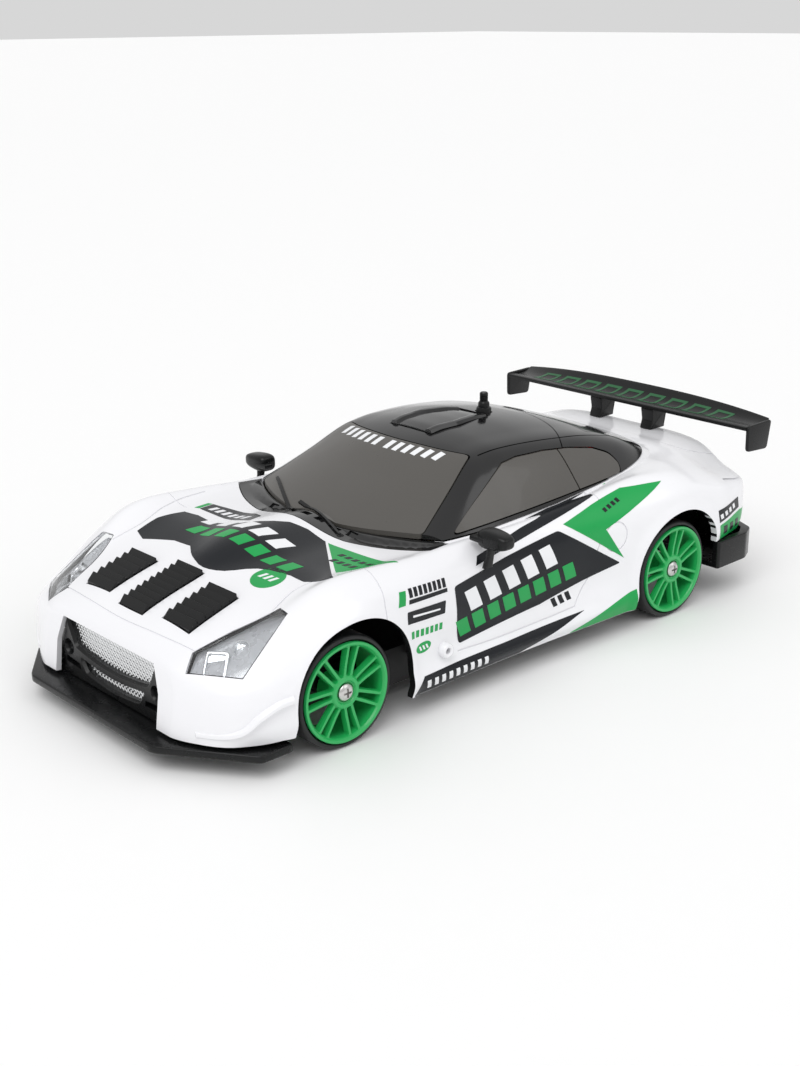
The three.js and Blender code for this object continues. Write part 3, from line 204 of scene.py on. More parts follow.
FINISHES = {
    "white_shell": finish("white_shell", (0.86, 0.86, 0.885), 0.2, 0.008, 1.1, 0.0016, Coat_Weight=0.25),
    "black_gloss": finish("black_gloss", (0.007, 0.007, 0.0075), 0.12, 0.05, 1.4, 0.002, Coat_Weight=0.2),
    "black_satin": finish(
        "black_satin", (0.006, 0.0063, 0.0066), 0.27, 0.1, 0.35, 0.004, Specular_IOR_Level=0.28),
    "window_grey": finish("window_grey", (0.078, 0.073, 0.066), 0.3, 0.04, 0.4, 0.002, Coat_Weight=0.2),
    "clear_lens": finish(
        "clear_lens", (0.97, 0.98, 1.0), 0.03, 0.01, 2.5, 0.003, Transmission_Weight=1.0, IOR=1.46),
    "chrome": finish("chrome", (0.78, 0.79, 0.8), 0.16, 0.05, 0.6, 0.006, Metallic=1.0),
    "red_lens": finish(
        "red_lens", (0.45, 0.006, 0.01), 0.12, 0.08, 0.8, 0.004, Coat_Weight=0.5, Subsurface_Weight=0.15),
    "wheel_green": finish("wheel_green", (0.018, 0.41, 0.1), 0.3, 0.04, 0.7, 0.003, Coat_Weight=0.12),
    "tyre": finish("tyre", (0.01, 0.0105, 0.011), 0.45, 0.15, 0.3, 0.006, Specular_IOR_Level=0.4),
    "steel": brushed("steel", (0.62, 0.61, 0.6), 0.28, 1),
    "brass": brushed("brass", (0.66, 0.46, 0.2), 0.3, 0),
    "chassis_black": finish("chassis_black", (0.014, 0.014, 0.015), 0.55, 0.15, 0.25, 0.012),
    "nylon": finish("nylon", (0.72, 0.69, 0.62), 0.42, 0.04, 0.9, 0.004, Subsurface_Weight=0.1),
    "board_green": finish("board_green", (0.012, 0.09, 0.035), 0.3, 0.25, 0.9, 0.01),
    "cell_blue": finish("cell_blue", (0.03, 0.12, 0.42), 0.25, 0.08, 1.6, 0.01, Coat_Weight=0.4),
}
GREEN_PRINT = finish(
    "green_print", (0.008, 0.34, 0.075), 0.3, 0.05, 0.22, 0.002, Specular_IOR_Level=0.3)
WING_PRINT = finish("wing_print", (0.012, 0.11, 0.035), 0.35, 0.08, 0.22, 0.002)
BLACK_PRINT = finish(
    "black_print", (0.012, 0.0135, 0.0165), 0.22, 0.08, 0.22, 0.002, Specular_IOR_Level=0.2)
WHITE_PRINT = finish("white_print", (0.84, 0.85, 0.87), 0.34, 0.01, 0.22, 0.002)
LAMP_GREY = finish("lamp_grey", (0.74, 0.75, 0.77), 0.28, 0.05, 0.5, 0.008, Metallic=0.3)


# ---------------------------------------------------------------- meshes
def solid(name, points, faces):
    """A closed mesh object from points in millimetres, with its faces turned outwards."""
    mesh = bpy.data.meshes.new(name)
    corners = [tuple(MM * float(c) for c in point) for point in points]
    mesh.from_pydata(corners, [], [list(map(int, face)) for face in faces])
    shape = bmesh.new()
    shape.from_mesh(mesh)
    if shape.calc_volume(signed=True) < 0:
        bmesh.ops.reverse_faces(shape, faces=shape.faces)
    shape.to_mesh(mesh)
    shape.free()
    made = bpy.data.objects.new(name, mesh)
    bpy.context.scene.collection.objects.link(made)
    return made


def loft(name, rings, closed=False):
    """A skin over rings with the same number of points, capped at both ends unless it closes on itself."""
    rings = np.asarray(rings, float)
    count, size = rings.shape[:2]
    faces = []
    for s in range(count if closed else count - 1):
        a, b = s * size, ((s + 1) % count) * size
        faces += [(a + i, a + (i + 1) % size, b + (i + 1) % size, b + i) for i in range(size)]
    if not closed:
        faces += [tuple(range(size))[::-1], tuple(range((count - 1) * size, count * size))]
    return solid(name, rings.reshape(-1, 3), faces)


def combine(operation, base, *tools, keep=False):
    """Cuts, joins or intersects a solid with others, which go unless they are kept."""
    for tool in tools:
        step = base.modifiers.new("combine", "BOOLEAN")
        step.operation = operation
        step.solver = "MANIFOLD"
        step.object = tool
    bpy.context.view_layer.update()
    merged = bpy.data.meshes.new_from_object(base.evaluated_get(bpy.context.evaluated_depsgraph_get()))
    base.modifiers.clear()
    base.data = merged
    if not keep:
        remove(*tools)
    return base


def cut(base, *tools, keep=False):
    return combine("DIFFERENCE", base, *tools, keep=keep)


def join(base, *tools):
    return combine("UNION", base, *tools)


def common(base, *tools, keep=False):
    return combine("INTERSECT", base, *tools, keep=keep)


def copy(base):
    made = bpy.data.objects.new(base.name, base.data.copy())
    bpy.context.scene.collection.objects.link(made)
    return made


def remove(*things):
    for thing in things:
        bpy.data.objects.remove(thing)


def gather(name, things):
    """Puts separate solids that don't touch into one object."""
    shape = bmesh.new()
    for thing in things:
        shape.from_mesh(thing.data)
    mesh = bpy.data.meshes.new(name)
    shape.to_mesh(mesh)
    shape.free()
    remove(*things)
    made = bpy.data.objects.new(name, mesh)
    bpy.context.scene.collection.objects.link(made)
    return made


def smooth(thing, angle=32):
    """Shades a mesh smooth, with a sharp edge wherever it turns by more than the angle."""
    shape = bmesh.new()
    shape.from_mesh(thing.data)
    for face in shape.faces:
        face.smooth = True
    for edge in shape.edges:
        edge.smooth = len(edge.link_faces) == 2 and edge.calc_face_angle(0) < math.radians(angle)
    shape.to_mesh(thing.data)
    shape.free()
    return thing


def piece(thing, name, slot, body="car", stands_for=(), material=None, angle=32):
    """Finishes a visible piece: name, material, the body it rides on and the CAD nodes it stands for."""
    thing.name = name
    thing.data.name = name
    thing.data.materials.clear()
    thing.data.materials.append(material or FINISHES[slot])
    smooth(thing, angle)
    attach(thing, body)
    if stands_for:
        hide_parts(*stands_for)
    return thing


AXES = {"x": (1, 2, 0), "y": (0, 2, 1), "z": (0, 1, 2)}


def ring(outline, axis, at):
    """A flat outline set across an axis: (y, z), (x, z) or (x, y) points at one place along it."""
    first, second, along = AXES[axis]
    points = np.zeros((len(outline), 3))
    points[:, first], points[:, second] = np.asarray(outline, float).T
    points[:, along] = at
    return points


def prism(outline, axis, low, high):
    return loft("prism", [ring(outline, axis, low), ring(outline, axis, high)])


def grow(outline, distance):
    """Moves each side of an outline outwards by a distance."""
    points = np.asarray(outline, float)
    before, after = np.roll(points, 1, 0), np.roll(points, -1, 0)
    turned = np.sum(points[:, 0] * after[:, 1] - after[:, 0] * points[:, 1]) > 0

    def outward(a, b):
        side = (b - a) / np.linalg.norm(b - a, axis=1)[:, None]
        return np.c_[side[:, 1], -side[:, 0]] * (1 if turned else -1)

    n1, n2 = outward(before, points), outward(points, after)
    share = 1 + np.sum(n1 * n2, axis=1)[:, None]
    return points + distance * (n1 + n2) / np.maximum(share, 0.35)


def rounded(outline, radius, steps=4):
    """The outline with each corner turned into an arc-like curve."""
    points = np.asarray(outline, float)
    made = []
    for i, corner in enumerate(points):
        before, after = points[i - 1] - corner, points[(i + 1) % len(points)] - corner
        if np.dot(before, after) < -0.94 * np.linalg.norm(before) * np.linalg.norm(after):
            made.append(corner)
            continue
        reach = min(radius, 0.45 * np.linalg.norm(before), 0.45 * np.linalg.norm(after))
        a = corner + before / np.linalg.norm(before) * reach
        b = corner + after / np.linalg.norm(after) * reach
        for t in np.linspace(0, 1, steps + 1):
            made.append((1 - t) ** 2 * a + 2 * t * (1 - t) * corner + t * t * b)
    return np.array(made)


def slab(outline, axis, low, high, radius=0.3, steps=3):
    """A prism whose two rims are rounded over by a radius."""
    angles = np.linspace(0, math.pi / 2, steps + 1)
    levels = [(-radius * (1 - math.sin(a)), low + radius * (1 - math.cos(a))) for a in angles]
    levels += [(shrink, high - (at - low)) for shrink, at in levels[::-1]]
    return loft("slab", [ring(grow(outline, shrink), axis, at) for shrink, at in levels])


def turned(profile, axis, centre, steps=96):
    """A piece turned about a line along an axis, from a closed profile of (radius, place) points."""
    first, second, along = AXES[axis]
    angles = np.arange(steps) * 2 * math.pi / steps
    rings = np.zeros((steps, len(profile), 3))
    radius, place = np.asarray(profile, float).T
    rings[:, :, first] = centre[first] + np.outer(np.cos(angles), radius)
    rings[:, :, second] = centre[second] + np.outer(np.sin(angles), radius)
    rings[:, :, along] = centre[along] + place
    return loft("turned", rings, closed=True)


def rod(axis, centre, radius, low, high, steps=48):
    first, second, _ = AXES[axis]
    angles = np.arange(steps) * 2 * math.pi / steps
    outline = np.c_[centre[first] + radius * np.cos(angles), centre[second] + radius * np.sin(angles)]
    return prism(outline, axis, low, high)


def block(x, y, z):
    return prism([(x[0], y[0]), (x[1], y[0]), (x[1], y[1]), (x[0], y[1])], "z", z[0], z[1])


def moved(thing, matrix):
    thing.data.transform(matrix)
    if matrix.determinant() < 0:
        thing.data.flip_normals()
    return thing


def mirrored(thing):
    """The same piece on the other side of the car."""
    return moved(copy(thing), Matrix.Diagonal((1, -1, 1, 1)))


# ---------------------------------------------------------------- the body's form
def along_line(knots, xs):
    """Steffen's interpolation of (x, y, z) knots, which is smooth and doesn't overshoot."""
    knots = np.asarray(knots, float)
    x, values = knots[:, 0], knots[:, 1:]
    width = np.diff(x)[:, None]
    rise = np.diff(values, axis=0) / width
    mean = (rise[:-1] * width[1:] + rise[1:] * width[:-1]) / (width[:-1] + width[1:])
    least = np.minimum(np.minimum(abs(rise[:-1]), abs(rise[1:])), abs(mean) / 2)
    slope = np.vstack([rise[:1], (np.sign(rise[:-1]) + np.sign(rise[1:])) * least, rise[-1:]])
    xs = np.clip(xs, x[0], x[-1])
    i = np.clip(np.searchsorted(x, xs, side="right") - 1, 0, len(x) - 2)
    h = width[i]
    t = (xs - x[i])[:, None] / h
    stretch = h * (slope[i] + slope[i + 1] - 2 * rise[i])
    bend = h * (3 * rise[i] - 2 * slope[i] - slope[i + 1])
    return values[i] + t * (h * slope[i] + t * (bend + t * stretch))


def curved_rows(points, steps):
    """Centripetal Catmull-Rom curves through rows of (y, z) points, with this many steps between points."""
    before, after = 2 * points[:, :1] - points[:, 1:2], 2 * points[:, -1:] - points[:, -2:-1]
    row = np.concatenate([before, points, after], 1)
    gap = np.sqrt(np.linalg.norm(np.diff(row, axis=1), axis=2))[..., None]
    d0, d1, d2 = gap[:, :-2], gap[:, 1:-1], gap[:, 2:]
    p0, p1, p2, p3 = row[:, :-3], row[:, 1:-2], row[:, 2:-1], row[:, 3:]
    m1 = ((p1 - p0) / d0 - (p2 - p0) / (d0 + d1) + (p2 - p1) / d1) * d1
    m2 = ((p2 - p1) / d1 - (p3 - p1) / (d1 + d2) + (p3 - p2) / d2) * d1
    t = (np.arange(steps) / steps)[None, None, :, None]
    p1, p2, m1, m2 = (v[:, :, None] for v in (p1, p2, m1, m2))
    curve = p1 + t * (m1 + t * (3 * (p2 - p1) - 2 * m1 - m2 + t * (2 * (p1 - p2) + m1 + m2)))
    return np.concatenate([curve.reshape(len(points), -1, points.shape[2]), points[:, -1:]], 1)


def whole_rows(half, steps):
    """Whole sections from their left halves."""
    right = half[:, -2::-1] * (-1, 1)
    return curved_rows(np.concatenate([half, right], 1), steps)


def inset_rows(rows, distance, foot=0):
    """Moves sections inwards by a distance for each row, and their two feet down."""
    along = np.empty_like(rows)
    along[:, 1:-1] = rows[:, 2:] - rows[:, :-2]
    along[:, 0], along[:, -1] = rows[:, 1] - rows[:, 0], rows[:, -1] - rows[:, -2]
    along /= np.linalg.norm(along, axis=2)[..., None]
    made = rows + np.stack([-along[..., 1], along[..., 0]], 2) * distance[:, None, None]
    made[:, [0, -1], 1] -= foot
    return made


def smoothstep(t):
    t = np.clip(t, 0, 1)
    return t * t * (3 - 2 * t)


def hood_bulge(x, y):
    """Height of the power bulge over the hood."""
    length = np.clip((63 - x) / 14, 0, 1) * np.clip((x - 18) / 10, 0, 1)
    return 2.6 * np.sqrt(length) * smoothstep(1 - abs(y) / (6 + 12 * length))


def flare(x, y, z):
    """How far the wheel arch lips stand out from the sides."""
    out = np.zeros_like(x)
    for arch_x, arch_z, radius in ARCHES:
        reach = np.hypot(x - arch_x, np.maximum(z - arch_z, 0)) - radius
        out = np.maximum(out, smoothstep(1 - reach / FLARE_WIDTH) * (reach > -2))
    return FLARE_HEIGHT * out * smoothstep((abs(y) - 40) / 3)


def body_form(offset, steps=7, spacing=1.15, foot=0, end_radius=1.5):
    """The lower body, grown by an offset. A negative offset gives the inside of the shell, which a foot opens
    at the bottom."""
    low, high = REAR_END_X - min(offset, 0), NOSE_X + min(offset, 0)
    near_end = end_radius * (1 - np.cos(np.linspace(0, math.pi / 2, 7)))
    between = np.arange(low + end_radius + spacing, high - end_radius - spacing / 2, spacing)
    xs = np.concatenate([low + near_end, between, (high - near_end)[::-1]])
    half = np.stack([along_line(line, xs) for line in BODY_LINES.values()], 1)
    from_end = np.clip(np.minimum(xs - low, high - xs) / end_radius, 0, 1)
    rounding = end_radius * (1 - np.sqrt(1 - (1 - from_end) ** 2))
    rows = inset_rows(whole_rows(half, steps), rounding - offset, foot)
    points = np.concatenate([np.broadcast_to(xs[:, None, None], (*rows.shape[:2], 1)), rows], 2)
    x, y, z = np.moveaxis(points, 2, 0).copy()
    if offset > -0.5:
        y = y + np.sign(y) * flare(x, y, z)
    z = z + np.where(z > 30, hood_bulge(x, y), 0)
    lean = np.clip((x - 78) / (NOSE_X - 78), 0, 1) ** 2 * (15 - z) * 0.13
    return loft("body_form", np.stack([x + lean, y, z], 2))


def cabin_form(offset, steps=8, spacing=1.15, foot=0):
    xs = np.arange(-78, 33.01, spacing)
    base, corner, centre = (along_line(line, xs) for line in (CABIN_FOOT, CABIN_CORNER, CABIN_MIDDLE))

    def side(share, bulge):
        return base + (corner - base) * share + (bulge, 0)

    def roof(share):
        rise = (centre[:, 1] - corner[:, 1]) * (1 - share ** 2.2)
        return np.stack([corner[:, 0] * share, corner[:, 1] + rise], 1)

    walls = [side(0, 0), side(0.45, 0.5), side(0.88, 0.2)]
    half = np.stack([*walls, roof(0.93), roof(0.66), roof(0.33), centre], 1)
    rows = inset_rows(whole_rows(half, steps), np.full(len(xs), -offset), foot)
    points = np.concatenate([np.broadcast_to(xs[:, None, None], (*rows.shape[:2], 1)), rows], 2)
    return loft("cabin_form", points)


def whole_form(offset, **detail):
    return join(body_form(offset, **detail), cabin_form(offset, **detail))


def layer(outside, inside):
    """A shell between two offsets of the whole form, open at the bottom."""
    return cut(whole_form(outside), whole_form(inside, foot=4))


# ---------------------------------------------------------------- outlines on the body
def across(half, count, at):
    """Points from the left side to the right side, each worked out from its y."""
    return [at(y) for y in np.linspace(half, -half, count + 1)]


def windscreen_plan(m):
    top = across(22.4 + m, 16, lambda y: (3 - 5.6 * (y / 24.5) ** 2 - m, y))
    foot = across(30.2 + m, 24, lambda y: (29.4 - 8.6 * abs(y / 31) ** 2.2 + m, y))
    return rounded(top + foot[::-1], 1.2)


def cowl_plan(m):
    back = across(35.4 + m, 24, lambda y: (29.4 - 8.6 * abs(y / 31) ** 2.2 + GAP - m, y))
    front = across(36.4 + m, 24, lambda y: (35.2 - 9.5 * abs(y / 35) ** 2.4 + m, y))
    return back + front[::-1]


def rear_window_plan(m):
    top = across(22.8 + m, 16, lambda y: (-47 + 3.5 * (y / 24) ** 2 + m, y))
    foot = across(20.5 + m, 16, lambda y: (-72.4 + 4 * (y / 24) ** 2 - m, y))
    return rounded(foot + top[::-1], 1.5)


def side_window_outline(m):
    corners = [
        (15.2 + 2 * m, 36.8 - m), (-46.6 - m, 39.2 - m), (-47 - m, 41.2), (-44.6 - m, 44 + m),
        (-39 - m, 46.2 + m), (-31, 47.6 + m), (-22, 48.4 + m), (-13, 48.5 + m), (-8, 47.9 + m)]
    return rounded(corners, 2.2)


def roof_region(m):
    """The space over the belt line, back to the foot of the rear pillars."""
    side = [
        (23.5, 36.2 - m), (5, 36.2 - m), (-20, 37.2 - m), (-47, 39.1 - m), (-58, 40.2 - m),
        (-67 - m, 41.6 - m), (-71.2 - m, 43 - m), (-73 - m, 60), (30, 60), (30, 36.2 - m)]
    edge = [(x, y - 0.8 + m) for x, y, _ in CABIN_FOOT]
    plan = edge + [(x, -y) for x, y in edge[::-1]]
    return common(prism(side, "y", -60, 60), prism(plan, "z", 30, 62))


LAMP_AIM = np.array((0.6, 0.45, 0.66)) / np.linalg.norm((0.6, 0.45, 0.66))
LAMP_CORNERS = np.array([
    (85.2, 27, 19.8), (84.2, 26.6, 25.6), (75.4, 29, 28.2), (65.2, 32.6, 31.2), (66.2, 36.4, 31.4),
    (79.4, 38.2, 21)])


def lamp_prism(corners, side, extra, low, high):
    """A prism along the aim of a headlight, whose corners spread by an extra distance."""
    out = corners - corners.mean(0)
    spread = corners + extra * out / np.linalg.norm(out, axis=1)[:, None]
    rings = [(spread + LAMP_AIM * at) * (1, side, 1) for at in (low, high)]
    return loft("lamp_prism", rings)


def grille_outline(m, foot):
    return [
        (-20.9 - m, foot), (20.9 + m, foot), (20.9 + m, 15), (18.6 + m, 21.2 + m), (-18.6 - m, 21.2 + m),
        (-20.9 - m, 15)]


OUTER_LOUVRE = dict(half=4.9, front=80.6, rear=67.6, slats=6)
LOUVRES = {
    "louvre_left": dict(y=15.7, **OUTER_LOUVRE),
    "louvre_centre": dict(y=0, half=4.7, front=82, rear=65.4, slats=9),
    "louvre_right": dict(y=-15.7, **OUTER_LOUVRE),
}
SCOOP_CORNERS = [(-24, -6.2), (-12, -8.4), (-3, -7.6), (-3, 7.6), (-12, 8.4), (-24, 6.2)]
ANTENNA = (-27, 2)
TAIL_LAMPS = [(19, 3.4), (28.5, 3.0)]
TAIL_LAMP_Z = 26
CLIP = (26.8, 14.1)


def louvre_plan(louvre, m):
    rear, front = louvre["rear"] - m, louvre["front"] + m
    right, left = louvre["y"] - louvre["half"] - m, louvre["y"] + louvre["half"] + m
    return [(rear, right), (front, right), (front, left), (rear, left)]


def wheel_arch(x, z, radius):
    angles = np.linspace(0, math.pi, 49)
    top = [(x + radius * math.cos(a), z + radius * math.sin(a)) for a in angles]
    return prism([*top, (x - radius, -5), (x + radius, -5)], "y", -60, 60)


# ---------------------------------------------------------------- seams and prints
def bent(points, steps=6):
    """A smooth line through (a, b) points."""
    return curved_rows(np.asarray(points, float)[None], steps)[0]


def strip(points, width):
    """The outline of a band along a smooth line."""
    line = bent(points)
    along = np.gradient(line, axis=0)
    out = np.c_[-along[:, 1], along[:, 0]] / np.linalg.norm(along, axis=1)[:, None] * width / 2
    return np.concatenate([line + out, (line - out)[::-1]])


def hoop(centre, radius, width, steps=40):
    """The outline of a ring, as a band that stops just short of its start."""
    angles = np.linspace(0, 1.99 * math.pi, steps)
    return np.concatenate([
        [(centre[0] + r * math.cos(a), centre[1] + r * math.sin(a)) for a in turn]
        for r, turn in ((radius + width / 2, angles), (radius - width / 2, angles[::-1]))])


def both_sides(line):
    """A line of (x, y) points, and its mirror image on the other side of the car."""
    return [line, [(x, -y) for x, y in line]]


SIDE_SEAMS = [
    [(-30.5, 37.6), (-28.4, 30.5), (-25.4, 24.3), (-23.8, 19.3), (-20.9, 15.5), (-18.2, 12.4)],
    [(-18.2, 12.4), (-8, 11.9), (10, 11.7), (22, 12.2)],
    [(45.6, 38.6), (46, 33.9), (46.6, 27)],
    [(-94, 30.2), (-86, 30.9), (-79, 32.2)],
]
TOP_SEAMS = [
    [(83, 26), (84.2, 15), (84.8, 0), (84.2, -15), (83, -26)],
    *both_sides([(66.5, 31.8), (58.8, 30.6), (50.4, 33.2), (44, 34.9), (36, 35.8)]),
    *both_sides([(-76, 20), (-78.5, 26), (-86, 29.6), (-93.5, 30.4)]),
    [(-27.5, 33), (-28, 30), (-35.9, 16.7), (-39.6, 0), (-35.9, -16.7), (-28, -30), (-27.5, -33)],
    *both_sides([(-3.4, 23.4), (-12, 23.9), (-25, 24.8), (-38, 25.2), (-50, 24.7), (-62, 22.6)]),
]
FUEL_CAP = ((-32.2, 27.6), 3.7)


def side_prisms(outlines):
    """Prisms from the left and the right onto the sides, out of (x, z) outlines."""
    return [prism(outline, "y", *span) for outline in outlines for span in ((30, 60), (-60, -30))]


def grooves(inside):
    """Cutters for the seams between the panels, which reach a groove's depth into the surface."""
    side = [strip(line, GROOVE_WIDTH) for line in SIDE_SEAMS] + [hoop(*FUEL_CAP, GROOVE_WIDTH)]
    top = [strip(line, GROOVE_WIDTH) for line in TOP_SEAMS]
    made = side_prisms(side) + [prism(outline, "z", 15, 60) for outline in top]
    return [cut(cutter, inside, keep=True) for cutter in made]


def slanted_row(start, end, height, count, fill=0.62, slant=0.35):
    """A row of slanted bars between two points, each as an outline."""
    start, end = np.array(start, float), np.array(end, float)
    along = (end - start) / count
    up = np.array((-along[1], along[0])) / np.linalg.norm(along) * height
    if up[1] < 0:
        up = -up
    lean = along / np.linalg.norm(along) * height * slant
    bars = []
    for i in range(count):
        foot = start + along * i
        bars.append([foot, foot + along * fill, foot + along * fill + up - lean, foot + up - lean])
    return bars


SIDE_PRINTS = {
    "black": [
        rounded([(23.3, 28.4), (5.2, 30.9), (-13.4, 32.9), (-33.8, 20.4), (-6.7, 15.7), (21.3, 13.7)], 0.8),
        [(-30.1, 37.6), (-16.4, 35.6), (-1.1, 33.4), (15.3, 31.2), (14, 33.0), (-3, 35.5), (-18, 37)],
        [(37.4, 5.4), (34.2, 10.1), (6, 10.3), (-20.9, 10.9), (5, 5.2)],
        [(-71.8, 26), (-82.8, 27.2), (-83.6, 24.1), (-72.8, 22.3)],
        rounded([(39.3, 27.0), (26.4, 26.1), (26.7, 23.1), (39.4, 24.1)], 0.3),
        [(38.7, 28.7), (25.8, 28.0), (25.8, 28.9), (38.6, 29.7)],
        *slanted_row((38.4, 30.1), (25.6, 29.2), 2.1, 8, 0.66, 0.15),
        *slanted_row((-11.4, 13.8), (-18.6, 14.6), 2.3, 3, 0.6, 0.3),
    ],
    "green": [
        [(-15.7, 33.9), (-27.2, 36.2), (-38.5, 38.0), (-51.9, 37.6), (-28.7, 30.2), (-34.9, 21.5),
         (-24.6, 28.2)],
        [(-39.3, 12.2), (-40.5, 5), (-12, 5)],
        [(-73.2, 21.4), (-84.2, 23.2), (-89.2, 22.4), (-89, 16), (-75, 16)],
        [(42.1, 28.9), (41.4, 32.2), (39.4, 32.0), (39.9, 28.8)],
        *slanted_row((38.2, 20.3), (26.8, 19.3), 1.7, 7, 0.62, 0.1),
        [(33.9 + 2.6 * math.cos(a), 17 + 1.3 * math.sin(a) - 0.04 * math.cos(a))
         for a in np.arange(24) * math.pi / 12],
    ],
}
SIDE_PRINTS_ON_TOP = {
    "white": [
        *slanted_row((17.6, 20.9), (-14.5, 25.6), 5.6, 5, 0.6, 0.3),
        *slanted_row((33, 6.7), (12, 6.9), 2.1, 9, 0.5, 0.2),
        *slanted_row((-73.4, 23.2), (-82, 25), 1.5, 4, 0.55, 0.3),
        *slanted_row((35, 16.4), (31.6, 16.4), 1.1, 3, 0.5, 0.5),
        [(37.6, 25.3), (28.4, 24.4), (28.4, 24.8), (37.6, 25.8)],
    ],
    "green": [*slanted_row((20.6, 15.2), (-20.5, 20.4), 4.4, 8, 0.7, 0.3)],
    "dark": [
        *slanted_row((-76.2, 18.2), (-86, 18.6), 2.6, 3, 0.55, 0.3),
        *slanted_row((-29.8, 34.1), (-36.6, 35.9), 0.9, 4, 0.6, 0.3),
    ],
}
TOP_PRINTS = {
    "black": [
        [(61.4, -28.6), (54.9, -29.4), (48, -27.7), (47.2, -23), (48, -15), (46.6, -6), (42.4, -1), (38.8, 3),
         (37.4, 8), (37.6, 14.6), (53.4, 36.4), (56.1, 29.5)] + bent([
             (55.6, 24.2), (57.5, 14.9), (62.3, 8.6), (63.8, 2.4), (62.3, -4.1), (59.4, -9)], 3).tolist() + [
                 (59.6, -15.3), (62.9, -24)],
        [(43.9, -27), (39.5, -27.4), (37.6, -12), (39.4, -7.6), (43.9, -6.4), (44.3, -13)],
    ],
    "green": [
        [(37.6, 15.6), (36.4, 38.6), (48.9, 31.9)],
        [(58.9 + 3.9 * math.cos(a), 20.4 + 4.4 * math.sin(a)) for a in np.arange(32) * math.pi / 16],
        [(44.4, -28.6), (40, -29), (39.5, -27.8), (43.9, -27.4)],
    ],
}


def row_on_hood(x, y_from, y_to, height, count, fill, slant):
    """A row of bars across the hood whose tops point back."""
    bars = slanted_row((y_from, -x), (y_to, -x), height, count, fill, slant)
    return [[(-b, a) for a, b in bar] for bar in bars]


TOP_PRINTS_ON_TOP = {
    "white": [
        *row_on_hood(49.6, -18.6, 13.8, 4.6, 5, 0.62, -0.35),
        *row_on_hood(59.8, 17.6, 23.2, 1.9, 3, 0.5, -0.5),
        *row_on_hood(42.9, -25, -9, 2.4, 6, 0.55, -0.2),
    ],
    "green": [*row_on_hood(54.9, -17.5, 24, 3.8, 7, 0.66, -0.35)],
    "dark": [*row_on_hood(44.6, 24.2, 33, 1.6, 4, 0.6, -0.3), *row_on_hood(41.2, 23, 35, 1.4, 5, 0.6, -0.3)],
}


def rows_on_glass():
    """Two rows of bars that follow the top edge of the windscreen."""
    bars = []
    for y in (-19.4, -16.4, -13.4, -10.4, -7.4, -4.4, 0.2, 3.2, 6.2, 9.2, 12.2, 15.2):
        foot = 6.9 - 5.6 * ((y + 1) / 24.5) ** 2
        bars.append([(foot, y), (foot - 3, y + 0.5), (foot - 3, y + 2.1), (foot, y + 1.6)])
    return bars


# ---------------------------------------------------------------- the body shell and what fits into it
CANARD_ROUTE = [
    (87.6, 30.6, 9.4), (84.6, 36.4, 9.9), (82, 40, 11.2), (79, 42.6, 14.4), (75.4, 43.9, 16.4),
    (71.9, 44.6, 17)]


def canard():
    """A curved lip that climbs round the lower corner of the bumper to the wheel arch."""
    route = curved_rows(np.array(CANARD_ROUTE, float)[None], 6)[0]
    section = rounded([(-1, 0.8), (2.1, 0.35), (2.1, -0.75), (-1, -0.8)], 0.25, 3)
    out = np.array((0.35, 0.94, 0))
    rings = [[place + out * share + (0, 0, height) for share, height in section] for place in route]
    return loft("canard", rings)


def clip_boss():
    """The ring round the hole for the clip that holds the body."""
    x, z = CLIP
    profile = [(0.7, 42.6), (1.8, 42.6), (1.8, 44.6), (1.6, 44.95), (1.3, 45.1), (0.95, 45.05), (0.7, 44.8)]
    return turned(profile, "y", (x, 0, z), 48)


def openings():
    """Cutters for all that opens the body shell."""
    made = [wheel_arch(*arch) for arch in ARCHES] + [prism(grille_outline(0, 5), "x", 78, 96)]
    made += [lamp_prism(LAMP_CORNERS, side, GAP, -7, 14) for _, side in SIDES]
    made += [prism(louvre_plan(louvre, GAP), "z", 20, 45) for louvre in LOUVRES.values()]
    made += [prism(cowl_plan(GAP), "z", *COWL_SPAN), prism(windscreen_plan(GAP), "z", *CABIN_SPAN)]
    made += [roof_region(GAP), prism(rear_window_plan(GAP), "z", *CABIN_SPAN)]
    made.append(rod("y", (CLIP[0], 0, CLIP[1]), 0.7, -60, 60))
    for _, side in SIDES:
        made += [rod("x", (0, y * side, TAIL_LAMP_Z), radius + GAP, -96, -88) for y, radius in TAIL_LAMPS]
    return made


def paint_inside_shade(thing, outside):
    """Paints the inner faces of a shell black: painted shade for the shadow inside the body, seen through the
    wheel arches and other openings.
    """
    thing.data.materials.append(FINISHES["black_satin"])
    tree = BVHTree.FromPolygons(
        [v.co for v in outside.data.vertices], [tuple(p.vertices) for p in outside.data.polygons])
    for face in thing.data.polygons:
        place, normal, _, depth = tree.find_nearest(face.center)
        if depth > INSIDE_DEPTH * MM and (face.center - place).dot(normal) < 0:
            # painted shade: a face deep inside the shell gets black
            face.material_index = 1


def build_shell(skin, holes, groove_cutters, outside):
    shell = cut(copy(skin), *holes, *groove_cutters, keep=True)
    lip, boss = canard(), clip_boss()
    shell = join(shell, mirrored(lip), lip, mirrored(boss), boss)
    shell = piece(shell, "body_moulding", "white_shell", stands_for=["body_shell"])
    # The inside of the white shell is painted black as painted shade.
    paint_inside_shade(shell, outside)


